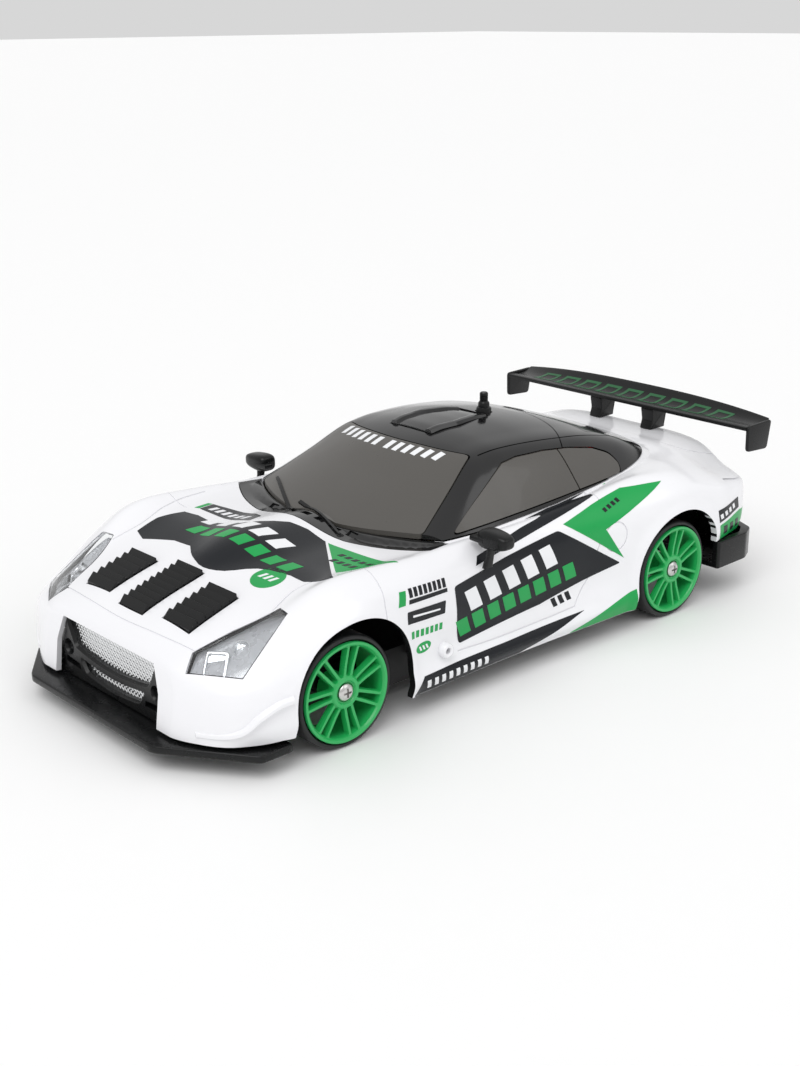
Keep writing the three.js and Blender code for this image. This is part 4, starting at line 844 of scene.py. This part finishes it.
def build_roof(skin, groove_cutters, outside):
    screen = prism(windscreen_plan(GAP), "z", *CABIN_SPAN)
    rear = prism(rear_window_plan(GAP), "z", *CABIN_SPAN)
    cowl = prism(cowl_plan(GAP), "z", *COWL_SPAN)
    panes = [prism(side_window_outline(GAP), "y", *span) for span in SIDE_SPANS]
    scoop = prism(grow(SCOOP_CORNERS, GAP), "z", 40, 60)
    aerial = rod("z", (*ANTENNA, 0), 2 + GAP, 40, 60)
    roof = cut(common(copy(skin), roof_region(0)), screen, rear, cowl, *panes, scoop, aerial)
    roof = cut(roof, *groove_cutters, keep=True)
    # Its inside is painted black as painted shade, like the shell's.
    paint_inside_shade(piece(roof, "roof_moulding", "black_gloss", stands_for=["roof_panel"]), outside)


def build_windows(skin):
    """The four panes. A narrow gap parts each side window where its door would end."""
    front = common(copy(skin), prism(windscreen_plan(0), "z", *CABIN_SPAN))
    piece(front, "windscreen_pane", "window_grey", stands_for=["windscreen"])
    back = common(copy(skin), prism(rear_window_plan(0), "z", *CABIN_SPAN))
    piece(back, "rear_window_pane", "black_gloss", stands_for=["rear_window"])
    for (word, _), span in zip(SIDES, SIDE_SPANS):
        pane = common(copy(skin), prism(side_window_outline(0), "y", *span))
        pane = cut(pane, prism([(-29.7, 37), (-29.3, 37), (-26.9, 48), (-27.3, 48)], "y", *span))
        piece(pane, f"side_window_pane_{word}", "window_grey", stands_for=[f"side_window_{word}"])


def build_cowl(skin):
    """The panel at the foot of the windscreen, with its air slots and the two wiper arms on it."""
    panel = common(copy(skin), prism(cowl_plan(0), "z", *COWL_SPAN))
    panel = cut(panel, prism(windscreen_plan(GAP), "z", *CABIN_SPAN), roof_region(GAP))
    slots = []
    for y in range(-15, 16, 5):
        back, front = 30.6 - y * y / 140, 32.4 - y * y / 140
        slots.append(slab(
            [(back, y - 1.5), (front, y - 1.5), (front, y + 1.5), (back, y + 1.5)], "z", 20, 50))
    deep = whole_form(-0.5)
    panel = cut(panel, *[cut(slot, deep, keep=True) for slot in slots])
    remove(deep)
    piece(panel, "cowl_trim", "black_gloss", stands_for=["cowl_panel"])
    routes = ([(32.3, 13.5), (29.4, 3), (27.2, -8)], [(31.6, -5), (26.6, -15), (21, -25)])
    arms = [prism(strip(route, 0.7), "z", *CABIN_SPAN) for route in routes]
    blades = common(layer(0.45, 0.05), gather("arms", arms))
    feet = [turned([(0, -0.2), (1.1, -0.2), (1.1, 0.5), (0.6, 0.9), (0, 0.9)], "z", (x, y, z), 32)
            for x, y, z in ((32.3, 13.3, 34.9), (31.7, -5.2, 35.2))]
    piece(join(blades, *feet), "wipers", "black_satin")


def build_roof_trim():
    """The scoop with a raised lip along its sides, and the aerial stub."""
    def row(share):
        """One cross section of the scoop, at a share of its length from the rear to the front."""
        x = -24 + 21 * share
        half = np.interp(x, [-24, -12, -3], [6.2, 8.4, 7.6])
        top = np.interp(x, [-24, -20, -14, -6, -3], [53.6, 54.2, 54.4, 54.1, 53.5])
        foot = np.interp(x, [-24, -3], [51.4, 50.2])
        left = [(half, foot), (half, top - 0.9), (half - 0.5, top - 0.2), (half - 1.2, top),
                (half - 2, top - 0.15), (half - 2.6, top - 0.7), (half * 0.3, top - 0.55)]
        outline = left + [(-y, z) for y, z in left[::-1]]
        return ring(outline, "x", x)

    scoop = loft("scoop", [row(t) for t in smoothstep(np.linspace(0, 1, 20))])
    piece(scoop, "scoop_moulding", "black_gloss", stands_for=["roof_scoop"])
    low, high = ends("antenna")
    steps = [(0, low[2]), (2, low[2]), (2, 53.9), (1.85, 54.2), (1.5, 54.35), (1.5, 55.3), (1.35, 55.6),
             (1.1, 55.8)]
    for z in np.arange(56.1, 57.5, 0.35):
        steps += [(1.1, z), (0.98, z + 0.08), (1.1, z + 0.16)]
    steps += [(1.1, high[2] - 0.3), (0.85, high[2]), (0, high[2])]
    piece(turned(steps, "z", (*ANTENNA, 0), 48), "aerial_stub", "black_satin", stands_for=["antenna"])


def deck_height(x):
    return along_line(BODY_LINES["centre line"], np.atleast_1d(float(x)))[0, 1]


def build_louvres():
    """Slats like shingles, each one rising towards the rear."""
    for name, rows in LOUVRES.items():
        front, rear = rows["front"], rows["rear"]
        pitch = (front - rear) / rows["slats"]
        outline = [(front, deck_height(front) - 1.2)]
        for x in front - pitch * np.arange(rows["slats"]):
            back = deck_height(x - pitch)
            outline += [
                (x, deck_height(x) + 0.05), (x - pitch + 0.62, back + 1.0), (x - pitch + 0.42, back + 1.12),
                (x - pitch + 0.2, back + 0.98), (x - pitch + 0.1, back + 0.1)]
        outline += [(rear, deck_height(rear) + 0.1), (rear, deck_height(rear) - 1.2)]
        body = prism(outline, "y", rows["y"] - rows["half"], rows["y"] + rows["half"])
        ribs = [block((rear + 0.3, front - 0.5), (rows["y"] + at - 0.3, rows["y"] + at + 0.3), (20, 50))
                for at in (-rows["half"] + 0.5, rows["half"] - 0.5)]
        capping = layer(0.35, -1.1)
        body = join(body, common(capping, gather("ribs", ribs)))
        piece(body, f"{name}_slats", "black_satin", stands_for=[name], angle=24)


# ---------------------------------------------------------------- the nose
def mouth(foot_half, top_half, low, high, foot_sag, top_sag):
    """The outline of an air intake whose foot and top sag towards the middle."""
    foot = [(y, low - foot_sag * (1 - (y / foot_half) ** 2)) for y in np.linspace(-foot_half, foot_half, 17)]
    top = [(y, high - top_sag * (1 - (y / top_half) ** 2)) for y in np.linspace(top_half, -top_half, 17)]
    return rounded(foot + top, 0.8)


def woven_plate(low, high, front, pitch, relief):
    """A plate across x whose face is a weave of round strands."""
    ys = np.linspace(low[0], high[0], int((high[0] - low[0]) / 0.14))
    zs = np.linspace(low[1], high[1], int((high[1] - low[1]) / 0.14))
    y, z = np.meshgrid(ys, zs, indexing="ij")
    one, other = (y + z) / pitch, (y - z) / pitch

    def strand(across, along):
        round_top = np.sqrt(np.clip(1 - (2.6 * (across - np.round(across))) ** 2, 0, 1))
        return round_top * (0.8 + 0.2 * np.cos(np.pi * (along + np.round(across))))

    face = front - relief * (1 - np.maximum(strand(one, other), strand(other, one + 1)))
    rows = np.stack([face, y, z], 2)
    back = rows.copy()
    back[..., 0] = front - 0.75
    rim = [np.concatenate([b[:1], f, b[-1:]]) for b, f in zip(back, rows)]
    return loft("plate", rim)


def build_grille():
    low, high = ends("grille_frame")
    frame_solid = slab(rounded(grille_outline(-GAP, 6.5), 0.5), "x", low[0], high[0], 0.35)
    upper, lower = mouth(15, 18, 14.7, 20.6, 1.6, 0.2), mouth(10.8, 13, 9.3, 12.1, 0.9, 1.2)
    bevels = [loft("bevel", [ring(outline, "x", 80), ring(outline, "x", high[0] - 0.7),
                             ring(grow(outline, 0.5), "x", high[0] + 0.1)]) for outline in (upper, lower)]
    lamps, slots, eyes = [], [], []
    for _, side in SIDES:
        place = (0, 17.9 * side, 13.6)
        lamps.append(turned([(0, 80), (1.5, 80), (1.5, 87.4), (2.1, 88.4), (0, 88.4)], "x", place, 48))
        slot = [(side * 13.2, 9.2), (side * 19.4, 9.6), (side * 19.4, 11.2), (side * 13.6, 10.6)]
        slots.append(slab(slot, "x", 86.6, 90, 0.1))
        eye = [(0, 84.5), (1.45, 84.5), (1.45, 86.2), (1.2, 86.7), (0.7, 87), (0, 87.1)]
        eyes.append(turned(eye, "x", place, 40))
    frame_solid = cut(frame_solid, *bevels, *lamps, *slots)
    tooth = slab(rounded([(-2.2, 6.9), (2.2, 6.9), (2.8, 8.2), (-2.8, 8.2)], 0.4), "x", 85, 88.4, 0.3)
    piece(join(frame_solid, tooth), "grille_moulding", "black_satin", stands_for=["grille_frame"])
    low, high = ends("grille_mesh")
    plate = woven_plate((low[1], low[2]), (high[1], high[2]), high[0] + 2.9, 1.3, 0.36)
    piece(plate, "grille_weave", "chrome", stands_for=["grille_mesh"], angle=50)
    piece(gather("eyes", eyes), "parking_lamps", "chrome")


def build_splitter():
    left, right = both_sides([(74.2, 34), (72, 40), (72, 45), (80.6, 45), (94, 26.4), (94.9, 24.6)])
    low, high = ends("front_splitter")
    tray = slab(rounded(right + left[::-1], 1.2), "z", low[2], high[2], 0.4)
    piece(tray, "splitter_tray", "black_satin", stands_for=["front_splitter"])


def build_headlights():
    """Each lens, and behind it a pale bowl with a boxed and a round reflector."""
    lens_skin = cut(body_form(0), body_form(-0.8, foot=4))
    bowl_skin = cut(body_form(-2.2), body_form(-3.0, foot=4))
    for word, side in SIDES:
        lens = common(copy(lens_skin), lamp_prism(LAMP_CORNERS, side, 0.01, -6, 14))
        piece(lens, f"headlight_cover_{word}", "clear_lens", stands_for=[f"headlight_lens_{word}"])
        bowl = common(copy(bowl_skin), lamp_prism(LAMP_CORNERS, side, -0.25, -9, 12))
        piece(bowl, f"headlight_reflector_{word}", "chrome", material=LAMP_GREY,
              stands_for=[f"headlight_bowl_{word}"])
        turn = Vector(LAMP_AIM * (1, side, 1)).to_track_quat("Z", "Y").to_matrix().to_4x4()
        box = slab(rounded([(-2.6, -3), (2.6, -3), (2.6, 3), (-2.6, 3)], 0.7), "z", -0.7, 1.5, 0.2)
        bay = slab(rounded([(-2.1, -2.5), (2.1, -2.5), (2.1, 2.5), (-2.1, 2.5)], 0.6), "z", 0.3, 2, 0.05)
        cup = [(0, -0.5), (2, -0.5), (2, 0.9), (1.75, 1), (1.2, 0.1), (0.6, 0), (0, 0.7)]
        cup = turned(cup, "z", (0, 0, 0), 40)
        cells = []
        for cell, x, y, z in ((cut(box, bay), 80.6, 30.6, 21.7), (cup, 75.2, 32.4, 24.5)):
            cells.append(moved(cell, Matrix.Translation(Vector((x, y * side, z)) * MM) @ turn))
        piece(gather("cells", cells), f"headlight_cells_{word}", "chrome")
    remove(lens_skin, bowl_skin)


# ---------------------------------------------------------------- mirrors, wing and rear
def build_mirrors():
    """Both door mirrors: a head, a recess for the glass, a stalk and an arm."""
    rings = []
    for t in np.linspace(-math.pi / 2 + 0.02, math.pi / 2 - 0.02, 28):
        girth = abs(math.cos(t)) ** 0.4
        turn = np.arange(48) * math.pi / 24
        outward = np.sign(t) * abs(math.sin(t)) ** 0.85
        x = 11.6 + (2.7 - 0.3 * outward) * girth * np.sign(np.cos(turn)) * abs(np.cos(turn)) ** 0.6
        z = 37.3 + (2.2 - 0.4 * outward) * girth * np.sign(np.sin(turn)) * abs(np.sin(turn)) ** 0.6
        y = np.full(48, 44.8 + 4.4 * outward)
        rings.append(np.c_[x, y, z])
    head = loft("head", rings)
    glass = slab(rounded([(41.6, 35.9), (48.2, 35.9), (48.2, 38.5), (41.6, 38.5)], 1), "x", 8, 9.65, 0.1)
    head = cut(head, glass)
    foot = rounded([(1.3, 0.7), (-1.3, 0.7), (-1.3, -0.7), (1.3, -0.7)], 0.6)
    stalk = loft("stalk", [
        [(x + size * a, y + size * b, z) for a, b in foot]
        for x, y, z, size in ((11.6, 43.9, 37.4, 1.1), (12.3, 43.6, 34, 0.8), (13, 43.3, 30.6, 1))])
    arm = slab([(12, 38.8), (14.4, 38.8), (14.4, 43), (12, 43)], "z", 36.4, 37.8, 0.4)
    mirror = join(head, stalk, arm)
    piece(mirrored(mirror), "door_mirror_right", "black_satin", stands_for=["mirror_right"])
    piece(mirror, "door_mirror_left", "black_satin", stands_for=["mirror_left"])


def wing_blade(offset):
    """The blade of the wing, whose rear edge lifts towards its middle."""
    rings = []
    for y in np.linspace(-44.1, 44.1, 61):
        lift = 2.3 * (1 - abs(y / 45) ** 2.6)
        outline = [
            (-84.4, 45.2), (-84.5, 46.1), (-86.2, 46.2), (-88.8, 45.9 + 0.1 * lift),
            (-91.4, 46.05 + 0.42 * lift), (-93.4, 46.5 + 0.82 * lift), (-94.7, 46.9 + lift),
            (-94.75, 46.3 + lift), (-93.2, 45.7 + 0.8 * lift), (-91, 45.1 + 0.4 * lift), (-88.6, 44.75)]
        rings.append(ring(grow(bent([*outline, outline[0]], 3)[:-1], offset), "y", y))
    return loft("blade", rings)


def build_wing():
    """The wing with its end plates, a row of outlined bars on it, and its two struts."""
    plate = rounded([(-84.4, 46.5), (-84.6, 39.4), (-93.5, 38.9), (-94.9, 46.8)], 1.1)
    plates = [slab(plate, "y", *sorted((side * 44, side * 45)), 0.3) for _, side in SIDES]
    piece(join(wing_blade(0), *plates), "wing_moulding", "black_satin", stands_for=["rear_wing"])
    stencil = []
    for y in range(-32, 33, 8):
        bar = [(-92.2, y - 2.9), (-87.2, y - 4.1), (-87.2, y + 1.7), (-92.2, y + 2.9)]
        inner = [(-91.4, y - 2), (-88, y - 2.9), (-88, y + 1), (-91.4, y + 1.9)]
        stencil.append(cut(prism(bar, "z", 45.6, 60), prism(inner, "z", 40, 70)))
    bars = common(wing_blade(0.06), gather("stencil", stencil))
    piece(bars, "wing_bars", "wheel_green", material=WING_PRINT)
    for word, side in SIDES:
        low, high = ends(f"wing_strut_{word}")
        side_on = [(-84.9, 39), (-91.3, 39), (-91.3, 41.4), (-92.4, 45), (-85, 45), (-85.7, 41.6)]
        strut = slab(rounded(side_on, 0.4), "y", low[1] - 0.9, high[1] + 0.9, 0.35)
        piece(strut, f"wing_post_{word}", "black_satin", stands_for=[f"wing_strut_{word}"])


def build_rear():
    """The rear bumper with its fins, and the round tail lamps."""
    def outline(m):
        return [
            (-73.2, 45.9 - m), (-73.2, -45.9 + m), (-86 + m / 2, -45.6 + m), (-90.6 + m, -43.4 + m),
            (-94 + m, -36 + m / 2), (-94 + m, 36 - m / 2), (-90.6 + m, 43.4 - m), (-86 + m / 2, 45.6 - m)]

    wall = slab(rounded(outline(0), 0.9), "z", 9, 16.6, 0.35)
    inside = prism([(-60, 44), (-60, -44), *outline(1.8)[2:]], "z", 10.4, 20)
    notch = slab(rounded([(-6, 11), (6, 11), (5, 14.6), (-5, 14.6)], 0.6), "x", -96, -93.2, 0.05)
    fins = [slab(rounded([(-93, 7.2), (-80, 8.6), (-80, 9.6), (-93.2, 9.6)], 0.4), "y", y - 0.6, y + 0.6, 0.2)
            for y in (-18, -6, 6, 18)]
    piece(join(cut(wall, inside, notch), *fins), "rear_diffuser", "black_satin", stands_for=["rear_bumper"])
    for word, side in SIDES:
        lenses = []
        for y, radius in TAIL_LAMPS:
            face = [(0, -91), (radius, -91), (radius, -93.4), (radius - 0.25, -93.8), (radius - 0.5, -93.95),
                    (radius - 0.8, -93.5), (radius * 0.45, -93.5), (radius * 0.4, -93.8), (0, -93.95)]
            lenses.append(turned(face, "x", (0, y * side, TAIL_LAMP_Z), 56))
        back = block((-91.4, -90.6), sorted((15 * side, 32 * side)), (TAIL_LAMP_Z - 3, TAIL_LAMP_Z + 3))
        piece(join(back, *lenses), f"tail_lens_{word}", "red_lens", stands_for=[f"tail_lamp_{word}"])


# ---------------------------------------------------------------- wheels
SPOKES = 14
WINDOW_INNER = 3.9
WINDOW_OUTER = 10.3


def spoke_windows(height):
    """Cutters for the windows between the spokes, which stand in V pairs. They widen towards the face."""
    made = []
    for i in range(SPOKES):
        turn = (i + 1) * 2 * math.pi / SPOKES
        near, spread = ((0.32, 0.381), (0.83, 0.0617))[i % 2]
        half = [near + (r - 2.6) * spread - 0.45 for r in (WINDOW_INNER, WINDOW_OUTER)]
        tip = [(math.sqrt(WINDOW_OUTER ** 2 - w * w), w) for w in np.linspace(-half[1], half[1], 9)]
        outline = rounded([(WINDOW_INNER, half[0]), (WINDOW_INNER, -half[0]), *tip], 0.3, 3)
        outline = outline @ np.array(((math.cos(turn), math.sin(turn)), (-math.sin(turn), math.cos(turn))))
        steps = ((0, 38), (0, height - 0.8), (0.1, height - 0.3), (0.22, height + 0.4))
        made.append(loft("window", [ring(grow(outline, wide), "y", y) for wide, y in steps]))
    return made


def make_rim():
    """A left rim, whose axle is a line along y through the origin."""
    barrel = turned([
        (10.3, 35.6), (10.5, 35.3), (11, 35.3), (11, 43.6), (11.35, 43.75), (11.6, 43.95), (11.6, 44.45),
        (11.5, 44.66), (11.3, 44.7), (10.9, 44.6), (10.5, 44.15), (10.3, 43.2)], "y", (0, 0, 0), 120)
    face = turned([
        (1.2, 42.3), (10.7, 42.5), (10.7, 44.15), (9.6, 44.1), (6, 43.85), (3.9, 43.9), (3.5, 44.3),
        (2.8, 44.3), (2.5, 43.9), (1.2, 43.9)], "y", (0, 0, 0), 120)
    hub = turned([(0.9, 38.3), (3.4, 38.3), (3.4, 43.4), (0.9, 43.4)], "y", (0, 0, 0), 72)
    return cut(join(cut(face, *spoke_windows(44.0)), barrel, hub), rod("y", (0, 0, 0), 2.3, 43.4, 46))


def make_tyre():
    """A hard slick with round shoulders and two raised rings on its side."""
    y_in, y_out, r = TYRE_INNER_Y, TYRE_OUTER_Y, TYRE_RADIUS
    outer = [
        (r - 0.75, y_in), (r - 0.35, y_in + 0.1), (r - 0.08, y_in + 0.38), (r, y_in + 0.75),
        (r, y_out - 0.9), (r - 0.08, y_out - 0.5), (r - 0.32, y_out - 0.16), (r - 0.62, y_out - 0.02),
        (r - 0.8, y_out)]
    side = [(12.05, y_out), (11.95, y_out - 0.1), (11.72, y_out - 0.5), (11.72, 43.6), (11.3, 43.4),
            (11.3, y_in)]
    return turned([*outer, *side], "y", (0, 0, 0), 144)


def make_wheel_screw():
    """A pan-head screw with a cross slot."""
    head = turned([
        (0, 38.9), (0.6, 38.9), (0.6, 43.5), (1.9, 43.5), (2, 43.6), (2, 44.1), (1.8, 44.4), (1.3, 44.66),
        (0.6, 44.78), (0, 44.8)], "y", (0, 0, 0), 48)
    cross = [prism([(-a, -b), (a, -b), (a, b), (-a, b)], "y", 43.9, 46)
             for a, b in ((1.1, 0.24), (0.24, 1.1))]
    return cut(head, *cross)


def build_wheels():
    for make, name, slot, angle in (
            (make_rim, "rim", "wheel_green", 30), (make_tyre, "tyre", "tyre", 40),
            (make_wheel_screw, "wheel_screw", "steel", 30)):
        model = make()
        for end, x in AXLE_X.items():
            for word, side in SIDES:
                place = Matrix.Translation(Vector((x, 0, AXLE_Z)) * MM)
                wheel = moved(copy(model) if side > 0 else mirrored(model), place)
                body = "rear_wheels" if end == "rear" else f"front_wheel_{word}"
                piece(wheel, f"{end}_{name}_{word}_look", slot, body, [f"{end}_{name}_{word}"], angle=angle)
        remove(model)


# ---------------------------------------------------------------- the livery
def printed(sheet, name, slot, material, side_outlines, top_outlines):
    """The part of a thin sheet under a set of stencils that don't touch each other."""
    stencils = side_prisms(side_outlines) + [prism(outline, "z", 31, 60) for outline in top_outlines]
    piece(common(copy(sheet), gather("stencils", stencils)), name, slot, material=material)


def build_livery(holes):
    """Two thin sheets over the body: flat colours on the lower one, rows of bars on the upper one."""
    lower, upper = layer(STICKER, -STICKER_SINKS), layer(UPPER_STICKER, -STICKER_SINKS)
    cut(lower, *holes, keep=True)
    cut(upper, *holes, keep=True)
    printed(lower, "livery_black", "black_gloss", BLACK_PRINT, SIDE_PRINTS["black"], TOP_PRINTS["black"])
    printed(lower, "livery_green", "wheel_green", GREEN_PRINT, SIDE_PRINTS["green"], TOP_PRINTS["green"])
    over_side, over_top = SIDE_PRINTS_ON_TOP, TOP_PRINTS_ON_TOP
    printed(upper, "livery_white", "white_shell", WHITE_PRINT, over_side["white"], over_top["white"])
    printed(upper, "livery_green_bars", "wheel_green", GREEN_PRINT, over_side["green"], over_top["green"])
    printed(upper, "livery_dark_bars", "black_gloss", BLACK_PRINT, over_side["dark"], over_top["dark"])
    remove(lower, upper)
    screen = layer(STICKER, -STICKER_SINKS)
    printed(screen, "windscreen_band", "white_shell", WHITE_PRINT, [], rows_on_glass())
    remove(screen)


# ---------------------------------------------------------------- the inner pieces
def finish_inner_nodes():
    """The CAD nodes that show as they are get the finish of their slot."""
    for part in frame["record"]["subparts"]:
        node = frame["nodes"][part["node"]]
        node.data.materials.clear()
        node.data.materials.append(FINISHES[part["material_slot"]])


# ---------------------------------------------------------------- stage
FLOOR_REACH = 9000
LAMPS = (("key", (1.0, 0.5, 1.7), 45, 1.3), ("side", (-0.5, 1.0, 0.9), 40, 0.35))
CAMERA_PLACE = (248.4, 274.11, 152.08)
CAMERA_TURN = (-132.068, -18.944, -0.353)


def build_stage():
    """A pale floor, an even sky and two wide, soft lamps."""
    corners = [(x * FLOOR_REACH, y * FLOOR_REACH, -0.02) for x, y in ((-1, -1), (1, -1), (1, 1), (-1, 1))]
    floor = solid("floor", corners, [(0, 1, 2, 3)])
    floor.data.materials.append(finish("floor", (0.93, 0.93, 0.93), 0.6, 0.002, 30, 0.0))
    world = bpy.data.worlds.new("studio")
    bpy.context.scene.world = world
    world.use_nodes = True
    sky = world.node_tree.nodes["Background"]
    sky.inputs["Color"].default_value = (1, 1, 1, 1)
    sky.inputs["Strength"].default_value = 0.68
    for name, place, spread, power in LAMPS:
        light = bpy.data.lights.new(name, "SUN")
        light.energy = power
        light.angle = math.radians(spread)
        lamp = bpy.data.objects.new(name, light)
        bpy.context.scene.collection.objects.link(lamp)
        lamp.rotation_euler = Vector(place).to_track_quat("Z", "Y").to_euler()


def build_camera():
    yaw, pitch, roll = (math.radians(angle) for angle in CAMERA_TURN)
    ahead = Vector((math.cos(pitch) * math.cos(yaw), math.cos(pitch) * math.sin(yaw), math.sin(pitch)))
    right = ahead.cross(Vector((0, 0, 1))).normalized()
    up = right.cross(ahead)
    right, up = math.cos(roll) * right + math.sin(roll) * up, math.cos(roll) * up - math.sin(roll) * right
    lens = bpy.data.cameras.new("camera")
    lens.lens = 51.25
    lens.sensor_width = 36
    lens.clip_start = 0.01
    camera = bpy.data.objects.new("camera", lens)
    bpy.context.scene.collection.objects.link(camera)
    turn = Matrix((right, up, -ahead)).transposed().to_4x4()
    camera.matrix_world = Matrix.Translation(Vector(CAMERA_PLACE) * MM) @ turn
    bpy.context.scene.camera = camera


def build_car():
    outside, skin, holes = whole_form(0), layer(0, -WALL), openings()
    groove_floor = whole_form(-GROOVE_DEPTH)
    groove_cutters = grooves(groove_floor)
    build_shell(skin, holes, groove_cutters, outside)
    build_roof(skin, groove_cutters, outside)
    build_windows(skin)
    build_cowl(skin)
    build_livery(holes)
    remove(outside, skin, groove_floor, *holes, *groove_cutters)
    build_roof_trim()
    build_louvres()
    build_grille()
    build_splitter()
    build_headlights()
    build_mirrors()
    build_wing()
    build_rear()
    build_wheels()


finish_inner_nodes()
build_car()
build_stage()
build_camera()
bpy.context.scene.view_settings.view_transform = "Standard"
